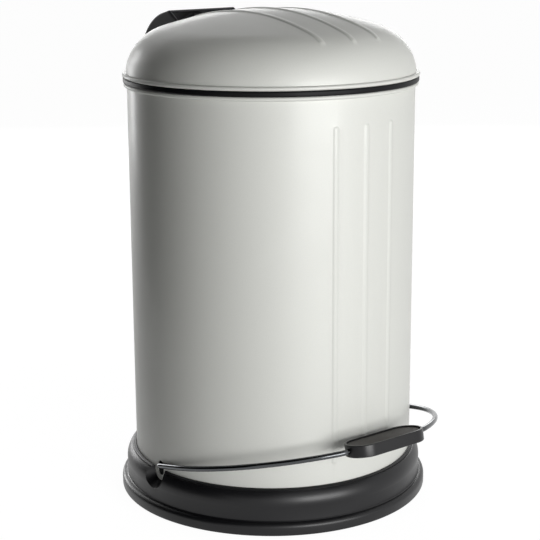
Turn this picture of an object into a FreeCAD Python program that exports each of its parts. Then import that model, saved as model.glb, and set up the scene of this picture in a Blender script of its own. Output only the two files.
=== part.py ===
import FreeCAD, Part
import math
import os
import re

import Sketcher

# Round pedal bin: painted steel body and domed lid, black plastic rim, foot, pedal and handle.
# Millimetres, +Z up, front towards -Y. The origin is on the floor, at the middle of the foot ring.

# Driving dimensions, one group for each sub-assembly
SIZES = {
    "body": {
        "body_radius": 135.0,
        "sheet_steel": 0.8,
        "body_low_edge": 14.0,
        "body_top": 395.5,
        "bead_radius": 1.9,
        "bead_offset": 1.2,
        "rib_pitch_angle": 13.8,
        "rib_tube_radius": 3.0,
        "rib_sink": 1.7,
        "rib_low": 62.0,
        "rib_top_drop": 30.0,
        "wire_slot_radius": 4.4,
        "wire_slot_forward": 0.8,
        "wire_slot_drop": 5.6,
        "plate_height": 68.0,
        "plate_flange": 10.0,
    },
    "rim ring": {
        "rim_overhang": 3.6,
        "rim_thick": 4.8,
        "rim_round": 1.2,
        "rim_skirt": 1.6,
        "rim_skirt_depth": 11.5,
    },
    "foot ring": {
        "foot_reach": 14.8,
        "foot_sole_round": 1.6,
        "foot_band_height": 7.5,
        "foot_band_round": 4.6,
        "foot_step_reach": 9.5,
        "foot_step_height": 12.4,
        "foot_wall_lean": 0.4,
        "foot_shoulder_low": 24.0,
        "foot_shoulder_radius": 17.0,
        "foot_shoulder_reach": 4.6,
        "foot_top": 40.4,
        "foot_groove": 0.9,
        "foot_lip_width": 3.2,
        "foot_lip_rise": 0.6,
        "foot_inset": 4.0,
        "foot_ledge_thick": 4.0,
        "foot_wall": 2.6,
        "notch_small_radius": 8.5,
        "notch_large_radius": 18.0,
        "notch_rise": 2.4,
        "shelf_reach": 23.0,
        "shelf_width": 28.0,
    },
    "lid": {
        "lid_gap": 0.3,
        "lid_bead_radius": 1.9,
        "lid_bead_offset": 1.4,
        "lid_overhang": 1.0,
        "lid_lean": 5.7,
        "shoulder_radius": 48.0,
        "lid_rise": 57.1,
        "ridge_front_inset": 19.5,
        "ridge_back_inset": 51.0,
        "ridge_end_sink": 0.5,
    },
    "lid handle": {
        "hood_half_width": 40.0,
        "hood_wall": 2.6,
        "hood_edge_round": 1.0,
        "hood_radius": 53.2,
        "hood_centre_inset": 27.0,
        "hood_centre_drop": 2.5,
        "hood_lip_inset": 25.5,
        "hood_lip_height": 52.1,
        "hood_bend_inset": 17.0,
        "hood_cheek_reach": 41.0,
        "hood_cheek_height": 42.0,
        "hood_skirt_height": 6.5,
        "hood_rib_width": 10.0,
        "hood_rib_front": 19.0,
        "hood_rib_back": 5.0,
        "screw_radius": 1.75,
        "screw_length": 13.0,
        "screw_head_radius": 3.4,
        "screw_head_height": 2.2,
        "screw_low_angle": 30.0,
        "screw_high_angle": 45.0,
    },
    "hinge": {
        "hinge_reach": 12.0,
        "hinge_rise": 8.5,
        "lid_opening": 75.0,
        "pin_radius": 2.0,
        "pin_head_radius": 3.2,
        "pin_head_length": 1.2,
        "knuckle_radius": 5.0,
        "arm_width": 12.0,
        "arm_side_gap": 0.6,
        "arm_neck_gap": 0.7,
        "arm_neck_high": 4.2,
        "arm_pad_thick": 3.0,
        "arm_pad_gap": 0.5,
        "arm_pad_low_angle": 9.0,
        "arm_pad_high_angle": 51.0,
        "tab_thick": 2.4,
        "tab_beyond_rod": 2.0,
        "tab_play": 1.5,
        "ear_thick": 2.5,
        "bracket_thick": 2.0,
        "bracket_half_angle": 9.5,
        "bracket_low_drop": 43.5,
        "bracket_high_drop": 8.5,
        "bracket_foot": 2.9,
        "bracket_bead_gap": 2.1,
        "rivet_radius": 1.7,
        "rivet_head_radius": 3.2,
        "rivet_head_height": 1.1,
        "rivet_angle": 6.4,
        "rivet_low_drop": 35.5,
        "rivet_high_drop": 16.5,
    },
    "pedal lever": {
        "axle_height": 44.0,
        "wire_radius": 2.5,
        "wire_body_gap": 1.1,
        "wire_bend_radius": 6.0,
        "wire_stub": 37.6,
        "wire_reach": 31.5,
        "wire_straight_half": 43.0,
        "wire_entry_radius": 25.0,
        "wire_entry_angle": 25.0,
        "wire_tilt": 13.4,
        "pedal_tilt": 10.5,
        "pedal_length": 84.5,
        "pedal_depth": 34.0,
        "pedal_thick": 11.2,
        "pedal_offset": 1.0,
        "pedal_rim": 2.0,
        "pedal_recess": 2.6,
        "pedal_edge_round": 0.8,
        "pad_thick": 1.2,
        "tube_radius": 4.5,
        "bush_length": 12.0,
        "bush_inset": 4.2,
        "bush_half_width": 11.0,
        "tube_end_gap": 1.0,
        "lever_thick": 4.0,
        "lever_hub_radius": 9.0,
        "lever_tip_radius": 3.6,
    },
    "push rod": {
        "rod_radius": 2.0,
        "rod_inset": 6.4,
        "rod_bend_radius": 4.0,
        "rod_tail": 1.0,
        "cap_radius": 3.0,
        "cap_length": 9.0,
        "cap_top_wall": 2.5,
        "clip_radius": 4.0,
        "clip_thick": 1.2,
        "guide_height_share": 0.58,
        "guide_tall": 8.0,
        "guide_half_width": 7.0,
        "guide_reach": 6.0,
        "guide_play": 0.4,
        "plate_hole_radius": 3.4,
    },
    "bucket": {
        "bucket_inset": 17.2,
        "bucket_taper": 9.0,
        "bucket_wall": 2.0,
        "bucket_floor": 2.2,
        "bucket_drop": 23.5,
        "bucket_flange": 3.5,
        "bucket_flange_thick": 2.0,
        "bucket_corner_round": 8.0,
        "lug_thick": 2.8,
        "lug_half_width": 6.0,
        "lug_depth": 14.0,
        "lug_rise": 7.5,
        "lug_wall_gap": 0.4,
        "bail_radius": 2.0,
        "bail_bend_radius": 3.0,
        "bail_stub": 9.0,
    },
    "clearances": {
        "seat_gap": 0.3,
        "running_gap": 0.05,
        "pad_gap": 0.15,
        "cut_overrun": 5.0,
    },
}

# Worked-out places: each is a formula of the sizes above and of the places before it
PLACES = {
    "shell_inner": "body_radius - sheet_steel",
    "bead_centre_r": "body_radius + bead_offset",
    "bead_centre_z": "body_top - bead_radius",
    "rib_centre_r": "body_radius - rib_sink",
    "rib_high": "body_top - rib_top_drop",
    "rib_inner_radius": "rib_tube_radius - sheet_steel",
    "plate_top": "plate_height + sheet_steel",
    "plate_radius": "shell_inner - seat_gap",
    "rim_outer": "body_radius + rim_overhang",
    "rim_top": "body_top + rim_thick",
    "rim_skirt_outer": "shell_inner - seat_gap",
    "rim_inner": "rim_skirt_outer - rim_skirt",
    "foot_outer": "body_radius + foot_reach",
    "foot_step_r": "body_radius + foot_step_reach",
    "foot_shoulder_r": "body_radius + foot_shoulder_reach",
    "foot_wall_r": "foot_step_r - foot_wall_lean",
    "foot_socket_r": "body_radius + pad_gap",
    "foot_lip_r": "foot_socket_r + foot_lip_width",
    "foot_inner": "body_radius - foot_inset",
    "foot_ledge_low": "body_low_edge - foot_ledge_thick",
    "lid_low": "rim_top + lid_gap",
    "lid_bead_r": "body_radius + lid_overhang + lid_bead_offset",
    "lid_bead_z": "lid_low + lid_bead_radius",
    "dome_r": "body_radius + lid_overhang",
    "dome_z": "lid_bead_z + lid_bead_radius",
    "shoulder_r": "dome_r - shoulder_radius * cos(lid_lean)",
    "shoulder_z": "dome_z - shoulder_radius * sin(lid_lean)",
    "apex_z": "dome_z + lid_rise",
    "crown_drop": "shoulder_z - apex_z",
    "crown_squares": "shoulder_radius^2 - shoulder_r^2 - crown_drop^2",
    "crown_radius": "crown_squares / (2 * (crown_drop + shoulder_radius))",
    "crown_z": "apex_z - crown_radius",
    "crown_scale": "crown_radius / (crown_radius - shoulder_radius)",
    "crown_edge_r": "shoulder_r * crown_scale",
    "crown_edge_z": "crown_z + (shoulder_z - crown_z) * crown_scale",
    "inner_scale": "(crown_radius - sheet_steel) / (crown_radius - shoulder_radius)",
    "inner_edge_r": "shoulder_r * inner_scale",
    "inner_edge_z": "crown_z + (shoulder_z - crown_z) * inner_scale",
    "dome_inner_r": "dome_r - sheet_steel * cos(lid_lean)",
    "dome_inner_z": "dome_z - sheet_steel * sin(lid_lean)",
    "ridge_pitch": "body_radius * sin(rib_pitch_angle)",
    "ridge_front_reach": "body_radius - ridge_front_inset",
    "ridge_back_reach": "body_radius - ridge_back_inset",
    "hinge_y": "body_radius + hinge_reach",
    "hinge_height": "body_top + hinge_rise",
    "half_opening": "lid_opening / 2",
    "rod_y": "shell_inner - rod_inset",
    "crank_radius": "(hinge_y - rod_y) / cos(half_opening)",
    "crank_drop": "crank_radius * sin(half_opening)",
    "lever_half_sweep": "atan(crank_drop / rod_y)",
    "lever_reach": "rod_y / cos(lever_half_sweep)",
    "rod_low": "axle_height - crank_drop",
    "rod_high": "hinge_height - crank_drop",
    "neck_low": "rim_top + arm_neck_gap",
    "neck_high": "hinge_height + arm_neck_high",
    "neck_front": "rim_inner - 2 * seat_gap",
    "tab_lift": "cap_radius + tab_play",
    "tab_tip_y": "rod_y - tab_beyond_rod * cos(half_opening) - tab_lift * sin(half_opening)",
    "tab_tip_z": "rod_high - tab_beyond_rod * sin(half_opening) + tab_lift * cos(half_opening)",
    "tab_root_z": "tab_tip_z + (neck_front - tab_tip_y) * tan(half_opening)",
    "tab_high_y": "tab_tip_y - tab_thick * sin(half_opening)",
    "tab_high_z": "tab_tip_z + tab_thick * cos(half_opening)",
    "pad_outer_radius": "shoulder_radius - sheet_steel - arm_pad_gap",
    "pad_inner_radius": "pad_outer_radius - arm_pad_thick",
    "pad_low_y": "shoulder_r + pad_inner_radius * cos(arm_pad_low_angle)",
    "pad_low_z": "shoulder_z + pad_inner_radius * sin(arm_pad_low_angle)",
    "tab_back_y": "pad_low_y - arm_pad_thick",
    "tab_back_z": "tab_high_z + (tab_back_y - tab_high_y) * tan(half_opening)",
    "hood_y": "body_radius - hood_centre_inset",
    "hood_z": "dome_z - hood_centre_drop",
    "hood_inner_radius": "hood_radius - hood_wall",
    "hood_lip_y": "body_radius - hood_lip_inset",
    "hood_lip_z": "dome_z + hood_lip_height",
    "hood_bend_y": "body_radius - hood_bend_inset",
    "hood_bend_z": "hood_z + sqrt(hood_radius^2 - (hood_bend_y - hood_y)^2)",
    "hood_bend_inner_z": "hood_z + sqrt(hood_inner_radius^2 - (hood_bend_y - hood_y)^2)",
    "hood_skirt_z": "dome_z + hood_skirt_height",
    "hood_back_y": "hood_y + sqrt(hood_radius^2 - (hood_skirt_z - hood_z)^2)",
    "hood_back_inner_y": "hood_y + sqrt(hood_inner_radius^2 - (hood_skirt_z - hood_z)^2)",
    "hood_cheek_y": "body_radius - hood_cheek_reach",
    "hood_cheek_z": "dome_z + hood_cheek_height",
    "hood_rib_radius": "hood_radius - hood_wall / 2",
    "hood_rib_y": "body_radius - hood_rib_front",
    "hood_rib_z": "hood_z + sqrt(hood_rib_radius^2 - (hood_rib_y - hood_y)^2)",
    "hood_rib_end_y": "body_radius + hood_rib_back",
    "hood_rib_end_z": "hood_z + sqrt(hood_rib_radius^2 - (hood_rib_end_y - hood_y)^2)",
    "bracket_low": "body_top - bracket_low_drop",
    "bracket_high": "body_top - bracket_high_drop",
    "rivet_low": "body_top - rivet_low_drop",
    "rivet_high": "body_top - rivet_high_drop",
    "ear_inner": "arm_width / 2 + arm_side_gap",
    "ear_outer": "ear_inner + ear_thick",
    "bracket_inner": "body_radius + running_gap",
    "bracket_outer": "bracket_inner + bracket_thick",
    "ear_front_y": "bead_centre_r + bead_radius + bracket_bead_gap",
    "ear_low_y": "bracket_outer + bracket_foot",
    "wire_side_x": "body_radius + wire_body_gap + wire_radius",
    "wire_bend_x": "wire_side_x - wire_bend_radius",
    "wire_stub_end": "wire_bend_x - wire_stub",
    "wire_front_y": "body_radius + wire_reach",
    "wire_entry_x": "wire_straight_half + wire_entry_radius * sin(wire_entry_angle)",
    "wire_entry_y": "wire_front_y - wire_entry_radius * (1 - cos(wire_entry_angle))",
    "wire_hoop_radius": "(wire_side_x - wire_entry_x) / (1 - sin(wire_entry_angle))",
    "wire_hoop_x": "wire_side_x - wire_hoop_radius",
    "wire_hoop_y": "wire_entry_y - wire_hoop_radius * cos(wire_entry_angle)",
    "pedal_y": "wire_front_y * cos(wire_tilt)",
    "pedal_z": "axle_height + wire_front_y * sin(wire_tilt)",
    "pedal_end_radius": "pedal_depth / 2",
    "pedal_half": "(pedal_length - pedal_depth) / 2",
    "bush_start": "shell_inner - bush_inset - bush_length",
    "tube_half": "bush_start - tube_end_gap",
    "lever_x": "rod_bend_radius + tube_end_gap + lever_thick / 2",
    "lever_slope": "asin((lever_hub_radius - lever_tip_radius) / lever_reach)",
    "clip_x": "lever_x + lever_thick / 2 + seat_gap",
    "rod_tail_x": "clip_x + clip_thick + rod_tail",
    "cap_low": "rod_high + cap_radius - cap_length",
    "rod_tip": "rod_high + cap_radius - cap_top_wall",
    "guide_height": "body_top * guide_height_share",
    "guide_front": "rod_y - guide_reach",
    "guide_radius": "shell_inner - seat_gap",
    "guide_side_y": "sqrt(guide_radius^2 - guide_half_width^2)",
    "guide_hole_radius": "rod_radius + guide_play",
    "bucket_top_radius": "shell_inner - bucket_inset",
    "bucket_low_radius": "bucket_top_radius - bucket_taper",
    "bucket_top": "body_top - bucket_drop",
    "bucket_low": "plate_top + seat_gap",
    "bucket_flange_r": "bucket_top_radius + bucket_flange",
    "bucket_flange_low": "bucket_top - bucket_flange_thick",
    "bail_z": "bucket_top + seat_gap + bail_radius",
    "bail_arc_r": "bucket_flange_r - bail_radius - seat_gap",
    "bail_bend_x": "bail_arc_r - bail_bend_radius",
    "lug_outer_x": "bail_bend_x - lug_wall_gap",
    "lug_inner_x": "lug_outer_x - lug_thick",
    "lug_root_x": "bucket_top_radius - bucket_wall / 2",
    "lug_low": "bucket_top - lug_depth",
    "lug_step": "bucket_top - bucket_flange_thick / 2",
    "lug_high": "bucket_top + lug_rise",
}

doc = FreeCAD.newDocument("pedal_bin")
dims = doc.addObject("Spreadsheet::Sheet", "dims")
places = doc.addObject("Spreadsheet::Sheet", "places")
KNOWN = {}


def bind(text):
    """Name the sheet of every size in a formula."""
    return re.sub(r"[a-z][a-z_0-9]*", lambda word: KNOWN.get(word.group(), word.group()), str(text))


def num(text):
    """Value of a formula now."""
    return float(places.evalExpression(bind(text)))


def fill_sheets():
    """Put the sizes and the worked-out places in the two sheets."""
    row = 0
    for group, sizes in SIZES.items():
        row += 1
        dims.set(f"A{row}", group)
        for alias, value in sizes.items():
            row += 1
            dims.set(f"A{row}", alias.replace("_", " "))
            dims.set(f"B{row}", str(value))
            dims.setAlias(f"B{row}", alias)
            KNOWN[alias] = f"dims.{alias}"
    for row, (alias, formula) in enumerate(PLACES.items(), start=1):
        places.set(f"A{row}", alias.replace("_", " "))
        places.set(f"B{row}", "=" + bind(formula))
        places.setAlias(f"B{row}", alias)
        KNOWN[alias] = f"places.{alias}"
    doc.recompute()


# Sketch and feature helpers

def new_body(label):
    body = doc.addObject("PartDesign::Body", label)
    body.Label = label
    return body


def set_formula(item, **formulas):
    """Bind properties of an object to formulas; a double underscore stands for a dot."""
    for prop, formula in formulas.items():
        item.setExpression(prop.replace("__", "."), bind(formula))
    return item


def new_sketch(body, plane, lift="0"):
    """Empty sketch on one of the body's own origin planes, lifted along the plane's normal."""
    sketch = body.newObject("Sketcher::SketchObject", f"{body.Label}_sketch")
    origin = next(f for f in body.Origin.OriginFeatures if f.Role == plane)
    sketch.AttachmentSupport = (origin, [""])
    sketch.MapMode = "FlatFace"
    set_formula(sketch, AttachmentOffset__Base__z=lift)
    return sketch


def fix_coordinate(sketch, edge, end, axis, text):
    """Hold one coordinate of a sketch point at a formula, or on the other axis where it is zero."""
    kind, zero_axis = {"x": ("DistanceX", -2), "y": ("DistanceY", -1)}[axis]
    if text == "0":
        sketch.addConstraint(Sketcher.Constraint("PointOnObject", edge, end, zero_axis))
    else:
        index = sketch.addConstraint(Sketcher.Constraint(kind, -1, 1, edge, end, num(text)))
        sketch.setExpression(f"Constraints[{index}]", bind(text))


def fix_point(sketch, edge, end, x, y):
    fix_coordinate(sketch, edge, end, "x", x)
    fix_coordinate(sketch, edge, end, "y", y)


def add_arc(sketch, a, b, centre_x, centre_y, turn):
    """Arc from a to b; its centre is held across the chord, which fixes the radius."""
    centre = FreeCAD.Vector(num(centre_x), num(centre_y), 0)
    first, last = (a, b) if turn == "ccw" else (b, a)
    angles = [math.atan2(p.y - centre.y, p.x - centre.x) for p in (first, last)]
    circle = Part.Circle(centre, FreeCAD.Vector(0, 0, 1), a.distanceToPoint(centre))
    edge = sketch.addGeometry(Part.ArcOfCircle(circle, *angles), False)
    if abs(b.x - a.x) > abs(b.y - a.y):
        fix_coordinate(sketch, edge, 3, "y", centre_y)
    else:
        fix_coordinate(sketch, edge, 3, "x", centre_x)
    return (edge, 1, 2) if turn == "ccw" else (edge, 2, 1)


def add_path(sketch, start, steps, closed=True):
    """Draw from start, and back to it. A step is (x, y), followed by the centre and turn of an arc."""
    if closed and steps[-1][:2] != start:
        steps = steps + [start]
    at, joints = start, []
    for step in steps:
        a, b = (FreeCAD.Vector(num(x), num(y), 0) for x, y in (at, step[:2]))
        if len(step) == 2:
            joints.append((sketch.addGeometry(Part.LineSegment(a, b), False), 1, 2))
        else:
            joints.append(add_arc(sketch, a, b, *step[2:]))
        at = step[:2]
    followers = joints[1:] + joints[:1] if closed else joints[1:]
    for before, after in zip(joints, followers):
        sketch.addConstraint(Sketcher.Constraint("Coincident", before[0], before[2], after[0], after[1]))
    for joint, point in zip(joints, [start] + steps):
        fix_point(sketch, joint[0], joint[1], *point[:2])
    if not closed:
        fix_point(sketch, joints[-1][0], joints[-1][2], *at)
    return sketch


def add_circle(sketch, x, y, radius):
    circle = Part.Circle(FreeCAD.Vector(num(x), num(y), 0), FreeCAD.Vector(0, 0, 1), num(radius))
    edge = sketch.addGeometry(circle, False)
    index = sketch.addConstraint(Sketcher.Constraint("Radius", edge, num(radius)))
    sketch.setExpression(f"Constraints[{index}]", bind(radius))
    fix_point(sketch, edge, 3, x, y)
    return sketch


def add_stadium(sketch, half, y, radius):
    """Outline with two straight sides along X and round ends."""
    low, high = f"{y} - ({radius})", f"{y} + ({radius})"
    steps = [
        (half, low),
        (half, high, half, y, "ccw"),
        (f"-({half})", high),
        (f"-({half})", low, f"-({half})", y, "ccw"),
    ]
    return add_path(sketch, (f"-({half})", low), steps)


def feature(body, kind, sketch, **formulas):
    item = body.newObject(f"PartDesign::{kind}", f"{body.Label}_{kind.lower()}")
    item.Profile = sketch
    sketch.Visibility = False
    return set_formula(item, **formulas)


def revolve(body, start, steps, plane="XZ_Plane", axis="V_Axis", half_angle=None):
    sketch = add_path(new_sketch(body, plane), start, steps)
    item = feature(body, "Revolution", sketch)
    item.ReferenceAxis = (sketch, [axis])
    if half_angle:
        item.Midplane = True
        set_formula(item, Angle=f"2 * {half_angle}")
    return body


def pad(body, sketch, length, both_ways=False):
    item = feature(body, "Pad", sketch, Length=length)
    if both_ways:
        item.SideType = "Symmetric"
    return item


def pocket(body, sketch, length, both_ways=False):
    """Cut a pocket and check that it removed something."""
    doc.recompute()
    before = body.Shape.Volume
    item = feature(body, "Pocket", sketch, Length=length)
    if both_ways:
        item.SideType = "Symmetric"
    doc.recompute()
    if not body.Shape.Volume < before:
        raise RuntimeError(f"{item.Label} cuts nothing")
    return item


def round_over(body, block, radius, wanted):
    """Round the edges of a block that a test picks."""
    doc.recompute()
    item = body.newObject("PartDesign::Fillet", f"{body.Label}_round")
    item.Base = (block, [f"Edge{n}" for n, edge in enumerate(block.Shape.Edges, start=1) if wanted(edge)])
    set_formula(item, Radius=radius)


def cylinder(name, radius, height, x="0", y="0", z="0", turn=None):
    """Cylinder from a point along +Z, or along the direction that a turn gives it."""
    item = doc.addObject("Part::Cylinder", name)
    if turn:
        item.Placement = FreeCAD.Placement(FreeCAD.Vector(), turn)
    return set_formula(item, Radius=radius, Height=height, Placement__Base__x=x,
                       Placement__Base__y=y, Placement__Base__z=z)


def box(name, x, y, z):
    """Box from pairs of low and high formulas."""
    item = doc.addObject("Part::Box", name)
    for letter, side, (low, high) in zip("xyz", ("Length", "Width", "Height"), (x, y, z)):
        item.setExpression(f"Placement.Base.{letter}", bind(low))
        item.setExpression(side, bind(f"({high}) - ({low})"))
    return item


def fuse(label, *items):
    joined = doc.addObject("Part::MultiFuse", label)
    joined.Shapes = list(items)
    joined.Label = label
    return joined


def cut(label, base, *tools):
    """Take tools away from a base."""
    item = doc.addObject("Part::Cut", label)
    item.Base = base
    item.Tool = tools[0] if len(tools) == 1 else fuse(f"{label}_tools", *tools)
    item.Label = label
    return item


def group(label, *items):
    """One node of several separate solids."""
    item = doc.addObject("Part::Compound", label)
    item.Links = list(items)
    item.Label = label
    return item


def pipe(body, section_plane, section_lift, section_at, radius, start, steps):
    """Round wire along a flat path of lines and tangent arcs."""
    path = add_path(new_sketch(body, "XY_Plane"), start, steps, closed=False)
    section = add_circle(new_sketch(body, section_plane, section_lift), *section_at, radius)
    item = feature(body, "AdditivePipe", section)
    item.Spine = path
    path.Visibility = False
    return body


ALONG_X = FreeCAD.Rotation(FreeCAD.Vector(0, 1, 0), 90)
ABOUT_X = FreeCAD.Vector(1, 0, 0)


# Body: shell, bottom plate and rim ring

def capsule(name, radius, angle, low, high):
    """Upright rod with round ends, set into the shell's front at an angle from the middle."""
    x, y = f"rib_centre_r * sin({angle})", f"-rib_centre_r * cos({angle})"
    rod = cylinder(f"{name}_rod", radius, f"{high} - ({low})", x, y, low)
    ends = []
    for place, z in (("low", low), ("high", high)):
        ball = doc.addObject("Part::Sphere", f"{name}_{place}")
        ends.append(set_formula(ball, Radius=radius, Placement__Base__x=x,
                                Placement__Base__y=y, Placement__Base__z=z))
    return fuse(name, rod, *ends)


def wire_slot(side, start):
    """Tool for the upright slot that the wire's end is hooked in through, along X from start."""
    body = new_body(f"wire_slot_{side}")
    middle, low = "-wire_slot_forward", "axle_height - wire_slot_drop"
    front, back = f"{middle} - wire_slot_radius", f"{middle} + wire_slot_radius"
    outline = add_path(new_sketch(body, "YZ_Plane"), (front, "axle_height"), [
        (front, low),
        (back, low, middle, low, "ccw"),
        (back, "axle_height"),
        (front, "axle_height", middle, "axle_height", "ccw"),
    ])
    pad(body, outline, "2 * cut_overrun + wire_bend_radius")
    return set_formula(body, Placement__Base__x=start)


def body_shell():
    """Rolled tube with a bead at the top, three ribs pressed out of the front and its holes."""
    outer = revolve(new_body("shell_outside"), ("0", "body_low_edge"), [
        ("body_radius", "body_low_edge"),
        ("body_radius", "bead_centre_z - bead_radius"),
        ("bead_centre_r", "bead_centre_z - bead_radius"),
        ("bead_centre_r", "body_top", "bead_centre_r", "bead_centre_z", "ccw"),
        ("0", "body_top"),
    ])
    bore = cylinder("shell_bore", "shell_inner", "body_top - body_low_edge + 2 * cut_overrun",
                    z="body_low_edge - cut_overrun")
    ribs, hollows = [], []
    for side in (-1, 0, 1):
        angle = f"{side} * rib_pitch_angle"
        ribs.append(capsule(f"rib_{side + 1}", "rib_tube_radius", angle, "rib_low", "rib_high"))
        hollows.append(capsule(f"rib_hollow_{side + 1}", "rib_inner_radius", angle, "rib_low", "rib_high"))
    slots = [wire_slot("left", "-body_radius - cut_overrun"),
             wire_slot("right", "body_radius - cut_overrun - wire_bend_radius")]
    return cut("body_shell", fuse("shell_solid", outer, *ribs), bore, *hollows, *slots, *rivet_holes())


def body_bottom():
    """Flanged plate that the bucket stands on, with a hole for the rod."""
    body = revolve(new_body("body_bottom"), ("0", "plate_height"), [
        ("plate_radius - sheet_steel", "plate_height"),
        ("plate_radius - sheet_steel", "plate_height - plate_flange"),
        ("plate_radius", "plate_height - plate_flange"),
        ("plate_radius", "plate_top"),
        ("0", "plate_top"),
    ])
    hole = add_circle(new_sketch(body, "XY_Plane", "plate_top"), "0", "rod_y", "plate_hole_radius")
    pocket(body, hole, "2 * sheet_steel")
    return body


def rim_ring():
    """Plastic ring on the body's top edge, with a skirt inside the shell."""
    return revolve(new_body("rim_ring"), ("rim_inner", "body_top - rim_skirt_depth"), [
        ("rim_skirt_outer", "body_top - rim_skirt_depth"),
        ("rim_skirt_outer", "body_top"),
        ("rim_outer - rim_round", "body_top"),
        ("rim_outer", "body_top + rim_round", "rim_outer - rim_round", "body_top + rim_round", "ccw"),
        ("rim_outer", "rim_top - rim_round"),
        ("rim_outer - rim_round", "rim_top", "rim_outer - rim_round", "rim_top - rim_round", "ccw"),
        ("rim_inner", "rim_top"),
    ])


# Foot ring

def base_ring():
    """Moulded foot: lip, rounded shoulder, step and lower band, hollow below, scooped at both sides."""
    ring = revolve(new_body("foot_outside"), ("foot_inner", "0"), [
        ("foot_outer - foot_sole_round", "0"),
        ("foot_outer", "foot_sole_round", "foot_outer - foot_sole_round", "foot_sole_round",
         "ccw"),
        ("foot_outer", "foot_band_height"),
        ("foot_outer - foot_band_round", "foot_band_height + foot_band_round",
         "foot_outer - foot_band_round", "foot_band_height", "ccw"),
        ("foot_step_r", "foot_step_height"),
        ("foot_wall_r", "foot_shoulder_low"),
        ("foot_shoulder_r", "foot_top - foot_groove",
         "foot_wall_r - foot_shoulder_radius", "foot_shoulder_low", "ccw"),
        ("foot_lip_r", "foot_top - foot_groove"),
        ("foot_lip_r", "foot_top"),
        ("foot_socket_r + foot_lip_rise", "foot_top + foot_lip_rise"),
        ("foot_socket_r", "foot_top"),
        ("foot_socket_r", "body_low_edge"),
        ("foot_inner", "body_low_edge"),
    ])
    hollow = revolve(new_body("foot_hollow"), ("foot_socket_r", "-cut_overrun"), [
        ("foot_step_r - foot_wall / 2", "-cut_overrun"),
        ("foot_step_r - foot_wall / 2", "foot_ledge_low - foot_sole_round"),
        ("foot_socket_r", "foot_ledge_low - foot_sole_round"),
    ])
    shelves, scoops = [], []
    for name, sign, turn in (("left", "-1", -90), ("right", "1", 90)):
        near = f"{sign} * (foot_inner - shelf_reach + foot_inset)"
        far = f"{sign} * (foot_inner + foot_inset / 2)"
        low, high = (far, near) if sign == "-1" else (near, far)
        shelves.append(box(f"shelf_{name}", (low, high), ("-shelf_width / 2", "shelf_width / 2"),
                           ("foot_ledge_low", "body_low_edge")))
        scoop = doc.addObject("Part::Cone", f"scoop_{name}")
        scoop.Placement.Rotation = FreeCAD.Rotation(FreeCAD.Vector(0, 1, 0), turn)
        start = f"{sign} * (body_radius - sheet_steel)"
        scoops.append(set_formula(scoop, Radius1="notch_small_radius", Radius2="notch_large_radius",
                                  Height="foot_reach", Placement__Base__x=start,
                                  Placement__Base__z="foot_top - notch_rise"))
    return cut("base_ring", fuse("foot_solid", ring, *shelves), hollow, *scoops)


# Lid: shell, handle, hinge arm and screws

def dome_profile(name, gap="0"):
    """Solid under the outside of the dome, grown by a gap."""
    edge_scale = f"(crown_radius + {gap}) / (crown_radius - shoulder_radius)"
    edge = (f"shoulder_r * {edge_scale}", f"crown_z + (shoulder_z - crown_z) * {edge_scale}")
    return revolve(new_body(name), ("0", "lid_low"), [
        (f"lid_bead_r + {gap}", "lid_low"),
        (f"lid_bead_r + {gap}", "dome_z", f"lid_bead_r + {gap}", "lid_bead_z", "ccw"),
        (f"dome_r + {gap} * cos(lid_lean)", f"dome_z + {gap} * sin(lid_lean)"),
        (*edge, "shoulder_r", "shoulder_z", "ccw"),
        ("0", f"apex_z + {gap}", "0", "crown_z", "ccw"),
    ])


def ridge(name, x_text, radius_text):
    """Tube along the dome from back to front at one side distance, sunk so that a low ridge stands out."""
    x, radius = num(x_text), num(radius_text)
    sink, crown, crown_z = num("rib_sink"), num("crown_radius"), num("crown_z")
    path_radius = math.sqrt((crown - sink) ** 2 - x ** 2)

    def on_crown(y):
        return FreeCAD.Vector(x, y, crown_z + math.sqrt(path_radius ** 2 - y ** 2))

    edge_y = -math.sqrt((num("crown_edge_r") * (crown - sink) / crown) ** 2 - x ** 2)
    back, edge = on_crown(num("ridge_back_reach")), on_crown(edge_y)
    front_y = -num("ridge_front_reach")
    from_centre = math.hypot(x, front_y) - num("shoulder_r")
    shoulder = num("shoulder_radius") - sink - num("ridge_end_sink")
    front = FreeCAD.Vector(x, front_y, num("shoulder_z") + math.sqrt(shoulder ** 2 - from_centre ** 2))
    inward = FreeCAD.Vector(0, -edge.y, crown_z - edge.z).normalize()
    chord = front - edge
    centre = edge + inward * (chord.dot(chord) / (2 * chord.dot(inward)))
    outward = (edge + chord * 0.5 - centre).normalize()
    middle = centre + outward * edge.distanceToPoint(centre)
    arcs = [Part.Arc(back, on_crown((back.y + edge.y) / 2), edge), Part.Arc(edge, middle, front)]
    spine = Part.Wire([arc.toShape() for arc in arcs])
    start = Part.Circle(back, FreeCAD.Vector(0, back.z - crown_z, -back.y), radius)
    tube = spine.makePipeShell([Part.Wire(start.toShape())], True, False)
    item = doc.addObject("Part::Feature", name)
    item.Shape = tube.fuse([Part.makeSphere(radius, end) for end in (back, front)])
    return item


def screw_axis(angle):
    """Turn from +Z to the shoulder's normal at an angle above the horizontal, towards the back."""
    return FreeCAD.Rotation(ABOUT_X, num(f"{angle} - 90"))


def on_shoulder(radius, angle):
    return f"shoulder_r + ({radius}) * cos({angle})", f"shoulder_z + ({radius}) * sin({angle})"


def shoulder_rods(name, radius, start, length):
    """Two cylinders along the shoulder's normals, where the handle screws are."""
    rods = []
    for place in ("low", "high"):
        angle = f"screw_{place}_angle"
        y, z = on_shoulder(start, angle)
        rods.append(cylinder(f"{name}_{place}", radius, length, "0", y, z, screw_axis(angle)))
    return rods


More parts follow.
